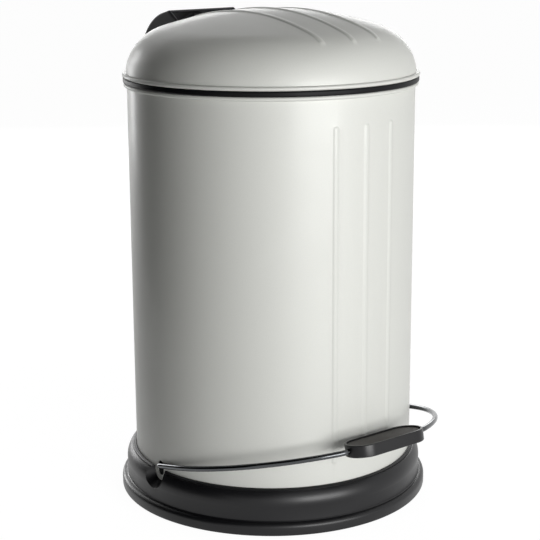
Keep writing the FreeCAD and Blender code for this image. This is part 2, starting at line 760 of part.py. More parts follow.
def lid_shell():
    """Pressed dome with a bead, three ridges, a slot for the hinge arm and two screw holes."""
    inner = revolve(new_body("lid_inside"), ("0", "lid_low - cut_overrun"), [
        ("dome_inner_r", "lid_low - cut_overrun"),
        ("dome_inner_r", "dome_inner_z"),
        ("inner_edge_r", "inner_edge_z", "shoulder_r", "shoulder_z", "ccw"),
        ("0", "apex_z - sheet_steel", "0", "crown_z", "ccw"),
    ])
    ridges, hollows = [], []
    for side in (-1, 0, 1):
        x = f"{side} * ridge_pitch"
        ridges.append(ridge(f"ridge_{side + 1}", x, "rib_tube_radius"))
        hollows.append(ridge(f"ridge_hollow_{side + 1}", x, "rib_inner_radius"))
    slot_half = "(arm_width / 2 + seat_gap)"
    slot = box("arm_slot", (f"-{slot_half}", slot_half),
               ("dome_inner_r - cut_overrun", "dome_r + cut_overrun"),
               ("lid_low - cut_overrun", "neck_high + seat_gap"))
    holes = shoulder_rods("lid_screw_hole", "screw_radius + pad_gap", "shoulder_radius - cut_overrun",
                          "2 * cut_overrun")
    outer = fuse("lid_solid", dome_profile("lid_outside"), *ridges)
    return cut("lid_shell", outer, inner, *hollows, slot, *holes)


def lid_handle():
    """Hood over the hinge: a curved roof, two cheeks that sit on the dome and a rib for the screws."""
    body = new_body("handle_blank")
    roof = add_path(new_sketch(body, "YZ_Plane"), ("hood_lip_y", "hood_lip_z"), [
        ("hood_cheek_y", "hood_cheek_z"),
        ("hood_cheek_y", "hood_skirt_z"),
        ("hood_back_y", "hood_skirt_z"),
        ("hood_bend_y", "hood_bend_z", "hood_y", "hood_z", "ccw"),
    ])
    block = pad(body, roof, "2 * hood_half_width", both_ways=True)
    half_width, cheek_y, skirt_z = num("hood_half_width"), num("hood_cheek_y"), num("hood_skirt_z")

    def roof_edge(edge):
        middle = edge.CenterOfMass
        at_side = abs(abs(middle.x) - half_width) < num("running_gap")
        return at_side and middle.y > cheek_y + num("hood_wall") and middle.z > skirt_z + num("hood_wall")

    round_over(body, block, "hood_edge_round", roof_edge)
    inside = add_path(new_sketch(body, "YZ_Plane"), ("hood_lip_y", "hood_lip_z - hood_wall"), [
        ("hood_lip_y", "hood_lip_z + cut_overrun"),
        ("hood_cheek_y - cut_overrun", "hood_lip_z + cut_overrun"),
        ("hood_cheek_y - cut_overrun", "hood_skirt_z - cut_overrun"),
        ("hood_back_inner_y", "hood_skirt_z - cut_overrun"),
        ("hood_back_inner_y", "hood_skirt_z"),
        ("hood_bend_y", "hood_bend_inner_z", "hood_y", "hood_z", "ccw"),
    ])
    pocket(body, inside, "2 * (hood_half_width - hood_wall)", both_ways=True)
    rib = add_path(new_sketch(body, "YZ_Plane"), ("hood_rib_y", "hood_skirt_z + cut_overrun"), [
        ("hood_rib_end_y", "hood_skirt_z + cut_overrun"),
        ("hood_rib_end_y", "hood_rib_end_z"),
        ("hood_rib_y", "hood_rib_z", "hood_y", "hood_z", "ccw"),
    ])
    pad(body, rib, "hood_rib_width", both_ways=True)
    pilots = shoulder_rods("pilot", "screw_radius + running_gap", "shoulder_radius - cut_overrun",
                           "screw_length - arm_pad_thick + cut_overrun + seat_gap")
    return cut("lid_handle", body, dome_profile("dome_seat", "seat_gap"), *pilots)


def lid_hinge_arm():
    """Arm from the hinge pin over the rim: a pad under the dome and a tab that the rod lifts."""
    body = new_body("arm_blank")
    pad_end = on_shoulder("pad_inner_radius", "arm_pad_high_angle")
    pad_back = on_shoulder("pad_outer_radius", "arm_pad_high_angle")
    neck_y = "shoulder_r + sqrt(pad_outer_radius^2 - (neck_high - shoulder_z)^2)"
    knuckle_low = "hinge_y - sqrt(knuckle_radius^2 - (hinge_height - neck_low)^2)"
    knuckle_high = "hinge_y - sqrt(knuckle_radius^2 - arm_neck_high^2)"
    outline = add_path(new_sketch(body, "YZ_Plane"), (knuckle_low, "neck_low"), [
        ("neck_front", "neck_low"),
        ("neck_front", "tab_root_z"),
        ("tab_tip_y", "tab_tip_z"),
        ("tab_high_y", "tab_high_z"),
        ("tab_back_y", "tab_back_z"),
        ("pad_low_y", "pad_low_z"),
        (*pad_end, "shoulder_r", "shoulder_z", "ccw"),
        pad_back,
        (neck_y, "neck_high", "shoulder_r", "shoulder_z", "cw"),
        (knuckle_high, "neck_high"),
        (knuckle_low, "neck_low", "hinge_y", "hinge_height", "cw"),
    ])
    pad(body, outline, "arm_width", both_ways=True)
    bore = add_circle(new_sketch(body, "YZ_Plane"), "hinge_y", "hinge_height", "pin_radius + running_gap")
    pocket(body, bore, "2 * arm_width", both_ways=True)
    holes = shoulder_rods("arm_screw_hole", "screw_radius + pad_gap", "pad_inner_radius - cut_overrun",
                          "2 * cut_overrun + arm_pad_thick")
    return cut("lid_hinge_arm", body, *holes)


def handle_screws():
    """Two screws from inside the lid into the handle's rib."""
    seat = "pad_inner_radius - seat_gap"
    shanks = shoulder_rods("shank", "screw_radius", seat, "screw_length")
    heads = shoulder_rods("head", "screw_head_radius", f"{seat} - screw_head_height", "screw_head_height")
    return group("handle_screws", *(fuse(f"screw_{n}", a, b) for n, (a, b) in enumerate(zip(shanks, heads))))


# Hinge on the back of the body

def hinge_bracket():
    """Curved plate on the shell with two ears that carry the hinge pin behind the lid's edge."""
    body = revolve(new_body("bracket_blank"), ("bracket_inner", "bracket_low"), [
        ("bracket_outer", "bracket_low"),
        ("bracket_outer", "bracket_high"),
        ("bracket_inner", "bracket_high"),
    ], plane="YZ_Plane", half_angle="bracket_half_angle")
    root_y = "bracket_outer - bracket_thick / 2"
    ears = add_path(new_sketch(body, "YZ_Plane"), (root_y, "bracket_low"), [
        ("ear_low_y", "bracket_low"),
        ("hinge_y + knuckle_radius", "hinge_height"),
        ("hinge_y - knuckle_radius", "hinge_height", "hinge_y", "hinge_height", "ccw"),
        ("ear_front_y", "hinge_height - knuckle_radius"),
        ("ear_front_y", "bracket_high"),
        (root_y, "bracket_high - bracket_foot"),
    ])
    pad(body, ears, "2 * ear_outer", both_ways=True)
    gap = add_path(new_sketch(body, "YZ_Plane"), ("bracket_outer", "bracket_low - cut_overrun"), [
        ("hinge_y + knuckle_radius + cut_overrun", "bracket_low - cut_overrun"),
        ("hinge_y + knuckle_radius + cut_overrun", "hinge_height + knuckle_radius + cut_overrun"),
        ("bracket_outer", "hinge_height + knuckle_radius + cut_overrun"),
    ])
    pocket(body, gap, "2 * ear_inner", both_ways=True)
    bore = add_circle(new_sketch(body, "YZ_Plane"), "hinge_y", "hinge_height", "pin_radius + running_gap / 2")
    pocket(body, bore, "4 * ear_outer", both_ways=True)
    return cut("hinge_bracket", body, *rivet_holes())


def hinge_pin():
    """Pin through the ears and the arm, headed at both ends."""
    half = "(ear_outer + running_gap)"
    end = f"({half} + pin_head_length)"
    pin = revolve(new_body("hinge_pin"), (f"-{end}", "0"), [
        (f"-{end}", "pin_head_radius"),
        (f"-{half}", "pin_head_radius"),
        (f"-{half}", "pin_radius"),
        (half, "pin_radius"),
        (half, "pin_head_radius"),
        (end, "pin_head_radius"),
        (end, "0"),
    ], plane="XY_Plane", axis="H_Axis")
    return set_formula(pin, Placement__Base__y="hinge_y", Placement__Base__z="hinge_height")


def rivet_rods(name, radius, start, length):
    """Four cylinders along the shell's normals, where the bracket is riveted."""
    rods = []
    for side in (-1, 1):
        turn = FreeCAD.Rotation(FreeCAD.Vector(0, 0, 1), num(f"-{side} * rivet_angle"))
        turn = turn.multiply(FreeCAD.Rotation(ABOUT_X, -90))
        for level in ("low", "high"):
            x, y = f"{side} * ({start}) * sin(rivet_angle)", f"({start}) * cos(rivet_angle)"
            place = "left" if side < 0 else "right"
            rods.append(cylinder(f"{name}_{place}_{level}", radius, length, x, y, f"rivet_{level}", turn))
    return rods


def rivet_holes():
    return rivet_rods("rivet_hole", "rivet_radius + running_gap", "shell_inner - cut_overrun",
                      "3 * cut_overrun")


def bracket_rivets():
    """Four rivets, headed inside the shell and outside the bracket."""
    inside = "shell_inner - seat_gap / 3 - rivet_head_height"
    outside = "bracket_outer + seat_gap / 3"
    shanks = rivet_rods("rivet_shank", "rivet_radius", inside, f"{outside} - ({inside})")
    backs = rivet_rods("rivet_back", "rivet_head_radius", inside, "rivet_head_height")
    heads = rivet_rods("rivet_head", "rivet_head_radius", outside, "rivet_head_height")
    parts = zip(shanks, backs, heads)
    return group("bracket_rivets", *(fuse(f"rivet_{n}", *solids) for n, solids in enumerate(parts)))


# Pedal lever: wire, pedal, pad, axle tube, bushes and lever arm

def tilt(item, angle, y="0", z="axle_height", x="0"):
    """Turn an object about X, front up, and place it."""
    set_formula(item, Placement__Base__x=x, Placement__Base__y=y, Placement__Base__z=z,
                Placement__Rotation__Angle=f"-({angle})")
    item.Placement = FreeCAD.Placement(item.Placement.Base, FreeCAD.Rotation(ABOUT_X, num(f"-({angle})")))
    return item


def pedal_wire():
    """Wire hoop round the front, flat here and tilted about the axle; its ends are the axle's stubs."""
    stub, side = "wire_stub_end", "wire_side_x"
    steps = [
        ("-wire_bend_x", "0"),
        (f"-{side}", "-wire_bend_radius", "-wire_bend_x", "-wire_bend_radius", "ccw"),
        (f"-{side}", "-wire_hoop_y"),
        ("-wire_entry_x", "-wire_entry_y", "-wire_hoop_x", "-wire_hoop_y", "ccw"),
        ("-wire_straight_half", "-wire_front_y", "-wire_straight_half",
         "wire_entry_radius - wire_front_y", "ccw"),
        ("wire_straight_half", "-wire_front_y"),
        ("wire_entry_x", "-wire_entry_y", "wire_straight_half",
         "wire_entry_radius - wire_front_y", "ccw"),
        (side, "-wire_hoop_y", "wire_hoop_x", "-wire_hoop_y", "ccw"),
        (side, "-wire_bend_radius"),
        ("wire_bend_x", "0", "wire_bend_x", "-wire_bend_radius", "ccw"),
        (stub, "0"),
    ]
    start = (f"-{stub}", "0")
    wire = pipe(new_body("pedal_wire"), "YZ_Plane", f"-{stub}", ("0", "0"), "wire_radius", start, steps)
    return tilt(wire, "wire_tilt")


def pedal_body():
    """Round-ended pedal with a recess in its top and a bore for the wire."""
    body = new_body("pedal_body")
    outline = add_stadium(new_sketch(body, "XY_Plane"), "pedal_half", "-pedal_offset", "pedal_end_radius")
    block = pad(body, outline, "pedal_thick", both_ways=True)
    near = num("running_gap")
    round_over(body, block, "pedal_edge_round",
               lambda edge: abs(edge.Vertexes[0].Z - edge.Vertexes[-1].Z) < near)
    recess = add_stadium(new_sketch(body, "XY_Plane", "pedal_thick / 2"), "pedal_half", "-pedal_offset",
                         "pedal_end_radius - pedal_rim")
    pocket(body, recess, "pedal_recess")
    bore = add_circle(new_sketch(body, "YZ_Plane"), "0", "0", "wire_radius + running_gap")
    pocket(body, bore, "2 * pedal_length", both_ways=True)
    return tilt(body, "pedal_tilt", "-pedal_y", "pedal_z")


def pedal_pad():
    """Textured inset in the pedal's recess."""
    body = new_body("pedal_pad")
    outline = add_stadium(new_sketch(body, "XY_Plane", "pedal_thick / 2 - pedal_recess"), "pedal_half",
                          "-pedal_offset", "pedal_end_radius - pedal_rim - pad_gap")
    pad(body, outline, "pad_thick")
    return tilt(body, "pedal_tilt", "-pedal_y", "pedal_z")


def axle_tube():
    """Tube that joins the wire's two stubs."""
    body = new_body("axle_tube")
    ring = add_circle(new_sketch(body, "YZ_Plane"), "0", "0", "tube_radius")
    add_circle(ring, "0", "0", "wire_radius + running_gap")
    pad(body, ring, "2 * tube_half", both_ways=True)
    return set_formula(body, Placement__Base__z="axle_height")


def axle_bush(side):
    """Bearing block on the foot ring's shelf, round on top."""
    body = new_body(f"axle_bush_{side}")
    block = add_path(new_sketch(body, "YZ_Plane"), ("-bush_half_width", "body_low_edge"), [
        ("bush_half_width", "body_low_edge"),
        ("bush_half_width", "axle_height"),
        ("-bush_half_width", "axle_height", "0", "axle_height", "ccw"),
    ])
    add_circle(block, "0", "axle_height", "wire_radius + running_gap")
    pad(body, block, "bush_length")
    start = "bush_start" if side == "right" else "-bush_start - bush_length"
    return set_formula(body, Placement__Base__x=start)


def lever_arm():
    """Flat lever from the axle tube to the push rod, drawn level and lowered at the back."""
    body = new_body("lever_arm")
    hub_x, hub_y = "lever_hub_radius * sin(lever_slope)", "lever_hub_radius * cos(lever_slope)"
    tip_x, tip_y = "lever_reach + lever_tip_radius * sin(lever_slope)", "lever_tip_radius * cos(lever_slope)"
    bar = add_path(new_sketch(body, "YZ_Plane"), (hub_x, hub_y), [
        (hub_x, f"-{hub_y}", "0", "0", "ccw"),
        (tip_x, f"-{tip_y}"),
        (tip_x, tip_y, "lever_reach", "0", "ccw"),
    ])
    add_circle(bar, "0", "0", "tube_radius + running_gap")
    add_circle(bar, "lever_reach", "0", "rod_radius + running_gap")
    pad(body, bar, "lever_thick", both_ways=True)
    return tilt(body, "lever_half_sweep", x="lever_x")


# Push rod, its cap and clip, and the guide on the rear wall

def push_rod():
    """Rod up the rear wall; its lower end is bent along X through the lever."""
    body = new_body("push_rod")
    height = "(rod_tip - rod_low)"
    pipe(body, "YZ_Plane", "rod_tail_x", ("0", "0"), "rod_radius", ("rod_tail_x", "0"), [
        ("rod_bend_radius", "0"),
        ("0", "rod_bend_radius", "rod_bend_radius", "rod_bend_radius", "cw"),
        ("0", height),
    ])
    body.Placement = FreeCAD.Placement(FreeCAD.Vector(), FreeCAD.Rotation(ABOUT_X, 90))
    return set_formula(body, Placement__Base__y="rod_y", Placement__Base__z="rod_low")


def rod_cap():
    """Round-topped cap on the rod, under the lid's tab."""
    body = revolve(new_body("rod_cap"), ("rod_radius + running_gap", "cap_low"), [
        ("cap_radius", "cap_low"),
        ("cap_radius", "rod_high"),
        ("0", "rod_high + cap_radius", "0", "rod_high", "ccw"),
        ("0", "rod_tip + running_gap"),
        ("rod_radius + running_gap", "rod_tip + running_gap"),
    ])
    return set_formula(body, Placement__Base__y="rod_y")


def rod_clip():
    """Push-on ring that keeps the rod in the lever."""
    body = new_body("rod_clip")
    ring = add_circle(new_sketch(body, "YZ_Plane"), "0", "0", "clip_radius")
    add_circle(ring, "0", "0", "rod_radius + running_gap")
    pad(body, ring, "clip_thick")
    return set_formula(body, Placement__Base__x="clip_x", Placement__Base__y="rod_y",
                       Placement__Base__z="rod_low")


def rod_guide():
    """Moulded guide on the shell's rear wall, with a long hole for the rod."""
    body = new_body("rod_guide")
    outline = add_path(new_sketch(body, "XY_Plane"), ("-guide_half_width", "guide_front"), [
        ("guide_half_width", "guide_front"),
        ("guide_half_width", "guide_side_y"),
        ("-guide_half_width", "guide_side_y", "0", "0", "ccw"),
    ])
    pad(body, outline, "guide_tall")
    radius, back = "guide_hole_radius", "lever_reach"
    slot = add_path(new_sketch(body, "XY_Plane", "guide_tall"), (f"-{radius}", "rod_y"), [
        (radius, "rod_y", "0", "rod_y", "ccw"),
        (radius, back),
        (f"-{radius}", back, "0", back, "ccw"),
    ])
    pocket(body, slot, "guide_tall")
    return set_formula(body, Placement__Base__z="guide_height")


# Inner bucket and its bail

def inner_bucket():
    """Tapered bucket with a flange and two lugs for the bail."""
    slope = "(bucket_top_radius - bucket_low_radius) / (bucket_top - bucket_low)"
    wall = "bucket_wall"
    corner = "bucket_low_radius - bucket_corner_round"
    inner_low = f"bucket_low_radius - {wall} + {slope} * bucket_corner_round"
    pail = revolve(new_body("pail"), ("0", "bucket_low"), [
        (corner, "bucket_low"),
        (f"bucket_low_radius + {slope} * bucket_corner_round", "bucket_low + bucket_corner_round",
         corner, "bucket_low + bucket_corner_round", "ccw"),
        (f"bucket_top_radius - {slope} * bucket_flange_thick", "bucket_flange_low"),
        ("bucket_flange_r", "bucket_flange_low"),
        ("bucket_flange_r", "bucket_top"),
        (f"bucket_top_radius - {wall}", "bucket_top"),
        (inner_low, "bucket_low + bucket_corner_round"),
        (corner, "bucket_low + bucket_floor"),
        ("0", "bucket_low + bucket_floor"),
    ])
    lugs = []
    for side, sign in (("left", "-1"), ("right", "1")):
        lug = new_body(f"lug_{side}")
        outline = add_path(new_sketch(lug, "XZ_Plane"), (f"{sign} * lug_inner_x", "lug_low"), [
            (f"{sign} * lug_root_x", "lug_low"),
            (f"{sign} * lug_root_x", "lug_step"),
            (f"{sign} * lug_outer_x", "lug_step"),
            (f"{sign} * lug_outer_x", "lug_high"),
            (f"{sign} * lug_inner_x", "lug_high"),
        ])
        pad(lug, outline, "2 * lug_half_width", both_ways=True)
        lugs.append(lug)
    holes = cylinder("lug_holes", "bail_radius + running_gap", "2 * lug_root_x",
                     "-lug_root_x", "0", "bail_z", ALONG_X)
    return cut("inner_bucket", fuse("pail_with_lugs", pail, *lugs), holes)


def bucket_bail():
    """Wire handle that lies on the bucket's flange, round the front."""
    stub = "(bail_bend_x - bail_stub)"
    start = (f"-{stub}", "0")
    bail = pipe(new_body("bucket_bail"), "YZ_Plane", f"-{stub}", ("0", "0"), "bail_radius", start, [
        ("-bail_bend_x", "0"),
        ("-bail_arc_r", "-bail_bend_radius", "-bail_bend_x", "-bail_bend_radius", "ccw"),
        ("bail_arc_r", "-bail_bend_radius", "0", "-bail_bend_radius", "ccw"),
        ("bail_bend_x", "0", "bail_bend_x", "-bail_bend_radius", "ccw"),
        (stub, "0"),
    ])
    return set_formula(bail, Placement__Base__z="bail_z")


def write_parts(parts):
    """Check every object of the document, then write each sub-part to its own file."""
    doc.recompute()
    for item in doc.Objects:
        if "Invalid" in item.State or "Error" in item.State:
            raise RuntimeError(f"{item.Label} failed: {item.State}")
    for part in parts:
        if part.Shape.isNull() or not part.Shape.isValid():
            raise RuntimeError(f"{part.Label} has no valid shape")
    os.makedirs("parts", exist_ok=True)
    for part in parts:
        part.Shape.exportStep(f"parts/{part.Label}.step")
        print(part.Label, len(part.Shape.Solids), "solids", round(part.Shape.Volume), "mm3")


fill_sheets()
write_parts([
    body_shell(),
    body_bottom(),
    rim_ring(),
    base_ring(),
    lid_shell(),
    lid_handle(),
    lid_hinge_arm(),
    handle_screws(),
    hinge_bracket(),
    hinge_pin(),
    bracket_rivets(),
    pedal_wire(),
    pedal_body(),
    pedal_pad(),
    axle_tube(),
    axle_bush("left"),
    axle_bush("right"),
    lever_arm(),
    push_rod(),
    rod_cap(),
    rod_clip(),
    rod_guide(),
    inner_bucket(),
    bucket_bail(),
])
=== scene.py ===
import logging
import math
from collections.abc import Callable
from dataclasses import dataclass, field
from enum import Enum
from functools import partial

import bmesh
import bpy
from bmesh.types import BMesh, BMVert
from bpy.types import Material, Mesh, Node, NodeSocket, NodeTree, Object, World
from mathutils import Euler, Matrix, Vector


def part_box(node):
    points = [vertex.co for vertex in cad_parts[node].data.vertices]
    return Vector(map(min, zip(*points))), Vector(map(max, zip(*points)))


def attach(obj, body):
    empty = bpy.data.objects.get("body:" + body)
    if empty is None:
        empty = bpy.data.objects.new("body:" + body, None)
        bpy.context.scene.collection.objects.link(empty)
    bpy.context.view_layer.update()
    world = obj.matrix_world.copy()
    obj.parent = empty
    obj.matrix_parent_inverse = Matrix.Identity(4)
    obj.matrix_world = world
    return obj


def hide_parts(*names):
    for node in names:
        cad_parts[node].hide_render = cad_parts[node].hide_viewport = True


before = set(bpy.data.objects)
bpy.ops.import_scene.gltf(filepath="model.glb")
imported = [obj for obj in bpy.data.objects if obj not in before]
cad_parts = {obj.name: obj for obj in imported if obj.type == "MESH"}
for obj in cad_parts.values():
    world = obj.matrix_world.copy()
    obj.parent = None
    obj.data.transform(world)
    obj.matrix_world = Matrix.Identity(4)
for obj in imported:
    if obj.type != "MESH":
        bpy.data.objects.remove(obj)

LOG = logging.getLogger("pedal_bin")
MM = 0.001
SHARP_ANGLE = math.radians(32)
CAD_MERGE_M = 2e-6
WORK_MERGE_MM = 1e-4
POLE_MM = 1e-6
SIDES = (-1, 1)
RIBS = (-1, 0, 1)
SQUARE = ((-1, -1), (1, -1), (1, 1), (-1, 1))

# Noise settings that every finish shares
GRAIN_DETAIL = 3.0
GRAIN_ROUGHNESS = 0.6
CLOUD_DETAIL = 2.0
CLOUD_LOW = 0.3
CLOUD_HIGH = 0.7

# Sockets of a colour mix, which have the same names as those for numbers
MIX_FACTOR = 0
MIX_DARK = 6
MIX_LIGHT = 7
MIX_RESULT = 2

Point = tuple[float, float]
Adder = Callable[..., Node]


class Slot(Enum):
    """Material slots of the record."""

    PAINT = "silver_paint"
    BLACK = "black_plastic"
    WIRE = "bright_wire"
    ZINC = "zinc_steel"
    RUBBER = "pedal_rubber"
    BUCKET = "bucket_plastic"


class Body(Enum):
    """Rigid bodies of the frame that pieces ride on."""

    BIN = "bin"
    LID = "lid"
    LEVER = "lever"
    ROD = "rod"
    BUCKET = "bucket"
    BAIL = "bail"


# Colours and nodes

def linear(hex_text: str) -> tuple[float, float, float, float]:
    """Turn an sRGB colour of six hex digits to linear RGBA, by the standard's own curve."""
    parts = [int(hex_text[i:i + 2], 16) / 255 for i in (0, 2, 4)]
    return (*[c / 12.92 if c <= 0.04045 else ((c + 0.055) / 1.055) ** 2.4 for c in parts], 1.0)


def add_node(tree: NodeTree, kind: str, sockets: dict | None = None, **settings) -> Node:
    """Add a node with its settings, values and links.

    Args:
        tree: node tree that gets the node.
        kind: Blender's name of the node type.
        sockets: input name or index to a value, an output to link or a list of these. A node stands for
            its first output.
        settings: attributes of the node.

    Returns:
        The new node.
    """
    item = tree.nodes.new(kind)
    for name, value in settings.items():
        setattr(item, name, value)
    for key, value in (sockets or {}).items():
        for source in value if isinstance(value, list) else [value]:
            source = source.outputs[0] if isinstance(source, Node) else source
            if isinstance(source, NodeSocket):
                tree.links.new(source, item.inputs[key])
            else:
                item.inputs[key].default_value = source
    return item


def bare_tree(owner: Material | World) -> Adder:
    """Empty the node tree of a material or a world.

    Args:
        owner: the material or world.

    Returns:
        What adds a node to that tree.
    """
    owner.use_nodes = True
    owner.node_tree.nodes.clear()
    return partial(add_node, owner.node_tree)


def per_metre(size_mm: float) -> float:
    """Noise scale whose features are about that many millimetres across."""
    return 1 / (size_mm * MM)


@dataclass(frozen=True)
class Finish:
    """A surface: two close colours in a fine grain, an uneven gloss and a bump from the same grain."""

    name: str
    slot: Slot
    dark: str
    light: str
    grain_mm: float
    bump_mm: float
    roughness: tuple[float, float]
    cloud_mm: float = 40.0
    metallic: float = 0.0
    coat: float = 0.0
    coat_roughness: float = 0.2
    specular: float = 0.5

    def material(self) -> Material:
        """Build the procedural material.

        Returns:
            The node material, made once for each finish.
        """
        if self.name in bpy.data.materials:
            return bpy.data.materials[self.name]
        made = bpy.data.materials.new(self.name)
        add = bare_tree(made)
        place = add("ShaderNodeTexCoord").outputs["Object"]
        grain = add("ShaderNodeTexNoise", {
            "Vector": place, "Scale": per_metre(self.grain_mm), "Detail": GRAIN_DETAIL,
            "Roughness": GRAIN_ROUGHNESS})
        cloud = add("ShaderNodeTexNoise", {
            "Vector": place, "Scale": per_metre(self.cloud_mm), "Detail": CLOUD_DETAIL})
        colour = add("ShaderNodeMix", {
            MIX_FACTOR: grain, MIX_DARK: linear(self.dark), MIX_LIGHT: linear(self.light)}, data_type="RGBA")
        gloss = add("ShaderNodeMapRange", {
            "Value": cloud, "From Min": CLOUD_LOW, "From Max": CLOUD_HIGH,
            "To Min": self.roughness[0], "To Max": self.roughness[1]})
        bump = add("ShaderNodeBump", {"Height": grain, "Strength": 1.0, "Distance": self.bump_mm * MM})
        shader = add("ShaderNodeBsdfPrincipled", {
            "Base Color": colour.outputs[MIX_RESULT], "Roughness": gloss, "Normal": bump,
            "Metallic": self.metallic, "Coat Weight": self.coat, "Coat Roughness": self.coat_roughness,
            "Specular IOR Level": self.specular})
        add("ShaderNodeOutputMaterial", {"Surface": shader})
        return made


# Paint flake and fine mould grain are about a tenth of a millimetre, too fine to show in the render, so
# they are drawn coarser, at 0.7 to 1 mm

# Stoved metallic paint on pressed steel: fine flake, soft broad highlights
SILVER_PAINT = Finish("stoved_silver_paint", Slot.PAINT, "D2D3CD", "DCDDD8", grain_mm=0.7, bump_mm=0.004,
                      roughness=(0.5, 0.56), metallic=0.05, coat=0.16)
# Moulded polypropylene: near black with a fine spark-eroded grain
BLACK_PLASTIC = Finish("moulded_black_polypropylene", Slot.BLACK, "0D0D0F", "141416", grain_mm=0.9,
                       bump_mm=0.012, roughness=(0.34, 0.41), specular=0.34)
# Moulded ABS with a coarse leather-like texture, coloured dark grey rather than black as a painted sheen on
# the sides of the lid's grip
GRIP_PLASTIC_PAINTED_SHEEN = Finish("textured_black_abs", Slot.BLACK, "1E1E22", "2B2B30", grain_mm=1.1, bump_mm=0.03,
                      roughness=(0.55, 0.63), specular=0.9)
# Extruded soft PVC edging: black plastic made darker than the other black as painted shade in the gap between
# lid and body, and matt, so that the rim reads as a dark line
EDGING_BLACK_PAINTED_SHADE = Finish("extruded_black_pvc", Slot.BLACK, "08080A", "0D0D0F", grain_mm=0.9, bump_mm=0.008,
                      roughness=(0.44, 0.52), specular=0.14)
# Bent steel wire, bright nickel plated: mirror-like, with dark and bright lines along it, and coloured far
# darker than bright nickel as a painted reflection of dark surroundings
WIRE_PAINTED_DARK_REFLECTION = Finish("bright_plated_wire", Slot.WIRE, "4A4B4D", "585A5C", grain_mm=1.2, bump_mm=0.003,
                     roughness=(0.12, 0.18), metallic=1.0)
# Zinc plated pressings: dull grey with a cloudy crystal pattern
ZINC_STEEL = Finish("zinc_plated_steel", Slot.ZINC, "8D9296", "B4B8BB", grain_mm=5.0, bump_mm=0.003,
                    roughness=(0.38, 0.5), metallic=1.0)
# Moulded rubber pad: matt, brown grey, with a sandy grain
PEDAL_RUBBER = Finish("moulded_pedal_rubber", Slot.RUBBER, "3A3735", "4C4946", grain_mm=0.8, bump_mm=0.05,
                      roughness=(0.66, 0.8))
# Injection moulded bucket: dark grey, satin
BUCKET_PLASTIC = Finish("moulded_grey_polypropylene", Slot.BUCKET, "55565A", "606165", grain_mm=1.0,
                        bump_mm=0.01, roughness=(0.42, 0.52))


# Outlines and meshes

def arc(centre: Point, radius: float, start: float, end: float, steps: int) -> list[Point]:
    """Points along an arc in a plane, from a start to an end angle in degrees, with so many chords."""
    angles = [math.radians(start + (end - start) * i / steps) for i in range(steps + 1)]
    return [(centre[0] + radius * math.cos(a), centre[1] + radius * math.sin(a)) for a in angles]


def arc_between(start: Point, end: Point, centre_x: float, steps: int) -> list[Point]:
    """Points along an arc between two points whose centre lies at a given X.

    Args:
        start: first point.
        end: last point.
        centre_x: X of the centre.
        steps: number of chords.

    Returns:
        The points from start to end.
    """
    (x0, y0), (x1, y1) = start, end
    spread = (x1 - centre_x) ** 2 + y1 ** 2 - (x0 - centre_x) ** 2 - y0 ** 2
    centre = (centre_x, spread / (2 * (y1 - y0)))
    first, last = (math.degrees(math.atan2(y - centre[1], x - centre[0])) for x, y in (start, end))
    return arc(centre, math.dist(start, centre), first, last, steps)


def polar(radius: float, angle: float, z: float) -> Vector:
    """Point at a radius and an angle from +X, in radians."""
    return Vector((radius * math.cos(angle), radius * math.sin(angle), z))


def even_angles(count: int) -> list[float]:
    """Angles round a full turn."""
    return [2 * math.pi * i / count for i in range(count)]


def turned(work: BMesh, profile: list[Point], angles: list[float]) -> list[list[BMVert]]:
    """Turn a profile of radius and height round Z, to a ring of vertices for each of its points."""
    return [[work.verts.new(polar(r, a, z)) for a in angles] for r, z in profile]


def stitch(work: BMesh, rings: list[list[BMVert]], closed: bool, wrap: bool = True) -> None:
    """Fill the bands between rings of vertices.

    Args:
        work: mesh that holds the rings.
        rings: rings of equal length, or of one vertex for a pole.
        closed: whether the last ring joins the first.
        wrap: whether each ring joins its own start.
    """
    pairs = list(zip(rings, rings[1:]))
    if closed:
        pairs.append((rings[-1], rings[0]))
    for a, b in pairs:
        count = max(len(a), len(b))
        for i in range(count if wrap else count - 1):
            j = (i + 1) % count
            corners = [a[i % len(a)], a[j % len(a)], b[j % len(b)], b[i % len(b)]]
            unique = list(dict.fromkeys(corners))
            if len(unique) > 2:
                work.faces.new(unique)


def box_mesh(work: BMesh, low: Vector, high: Vector) -> None:
    """Add a box between two corners.

    Args:
        work: mesh that gets the box.
        low: lowest corner.
        high: highest corner.
    """
    made = bmesh.ops.create_cube(work, size=1)["verts"]
    bmesh.ops.scale(work, vec=high - low, verts=made)
    bmesh.ops.translate(work, vec=(high + low) / 2, verts=made)


def merged_node(node: str) -> BMesh:
    """Copy a CAD node's loose triangles as one merged mesh.

    Args:
        node: name of the node.

    Returns:
        The copy, in metres.
    """
    work = bmesh.new()
    work.from_mesh(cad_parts[node].data)
    bmesh.ops.remove_doubles(work, verts=work.verts, dist=CAD_MERGE_M)
    return work


def closed_mesh(work: BMesh) -> Mesh:
    """Turn work in millimetres to a mesh in metres, with its faces outwards.

    Args:
        work: closed shape in millimetres, which is freed.

    Returns:
        The mesh.
    """
    bmesh.ops.remove_doubles(work, verts=work.verts, dist=WORK_MERGE_MM)
    bmesh.ops.recalc_face_normals(work, faces=work.faces)
    bmesh.ops.scale(work, vec=(MM, MM, MM), verts=work.verts)
    data = bpy.data.meshes.new("closed")
    work.to_mesh(data)
    work.free()
    return data


def put_in_scene(name: str, data: bpy.types.ID) -> Object:
    """Link a new object to the scene.

    Args:
        name: name of the object.
        data: its mesh, curve, light or camera.

    Returns:
        The object.
    """
    item = bpy.data.objects.new(name, data)
    bpy.context.scene.collection.objects.link(item)
    return item


def plain_mesh(carrier: Object) -> Mesh:
    """Take the mesh that a carrier's modifiers give, and remove the carrier.

    Args:
        carrier: object with modifiers, used only for this.

    Returns:
        The evaluated mesh.
    """
    graph = bpy.context.evaluated_depsgraph_get()
    data = bpy.data.meshes.new_from_object(carrier.evaluated_get(graph), depsgraph=graph)
    carrier.modifiers.clear()
    bpy.data.objects.remove(carrier)
    return data


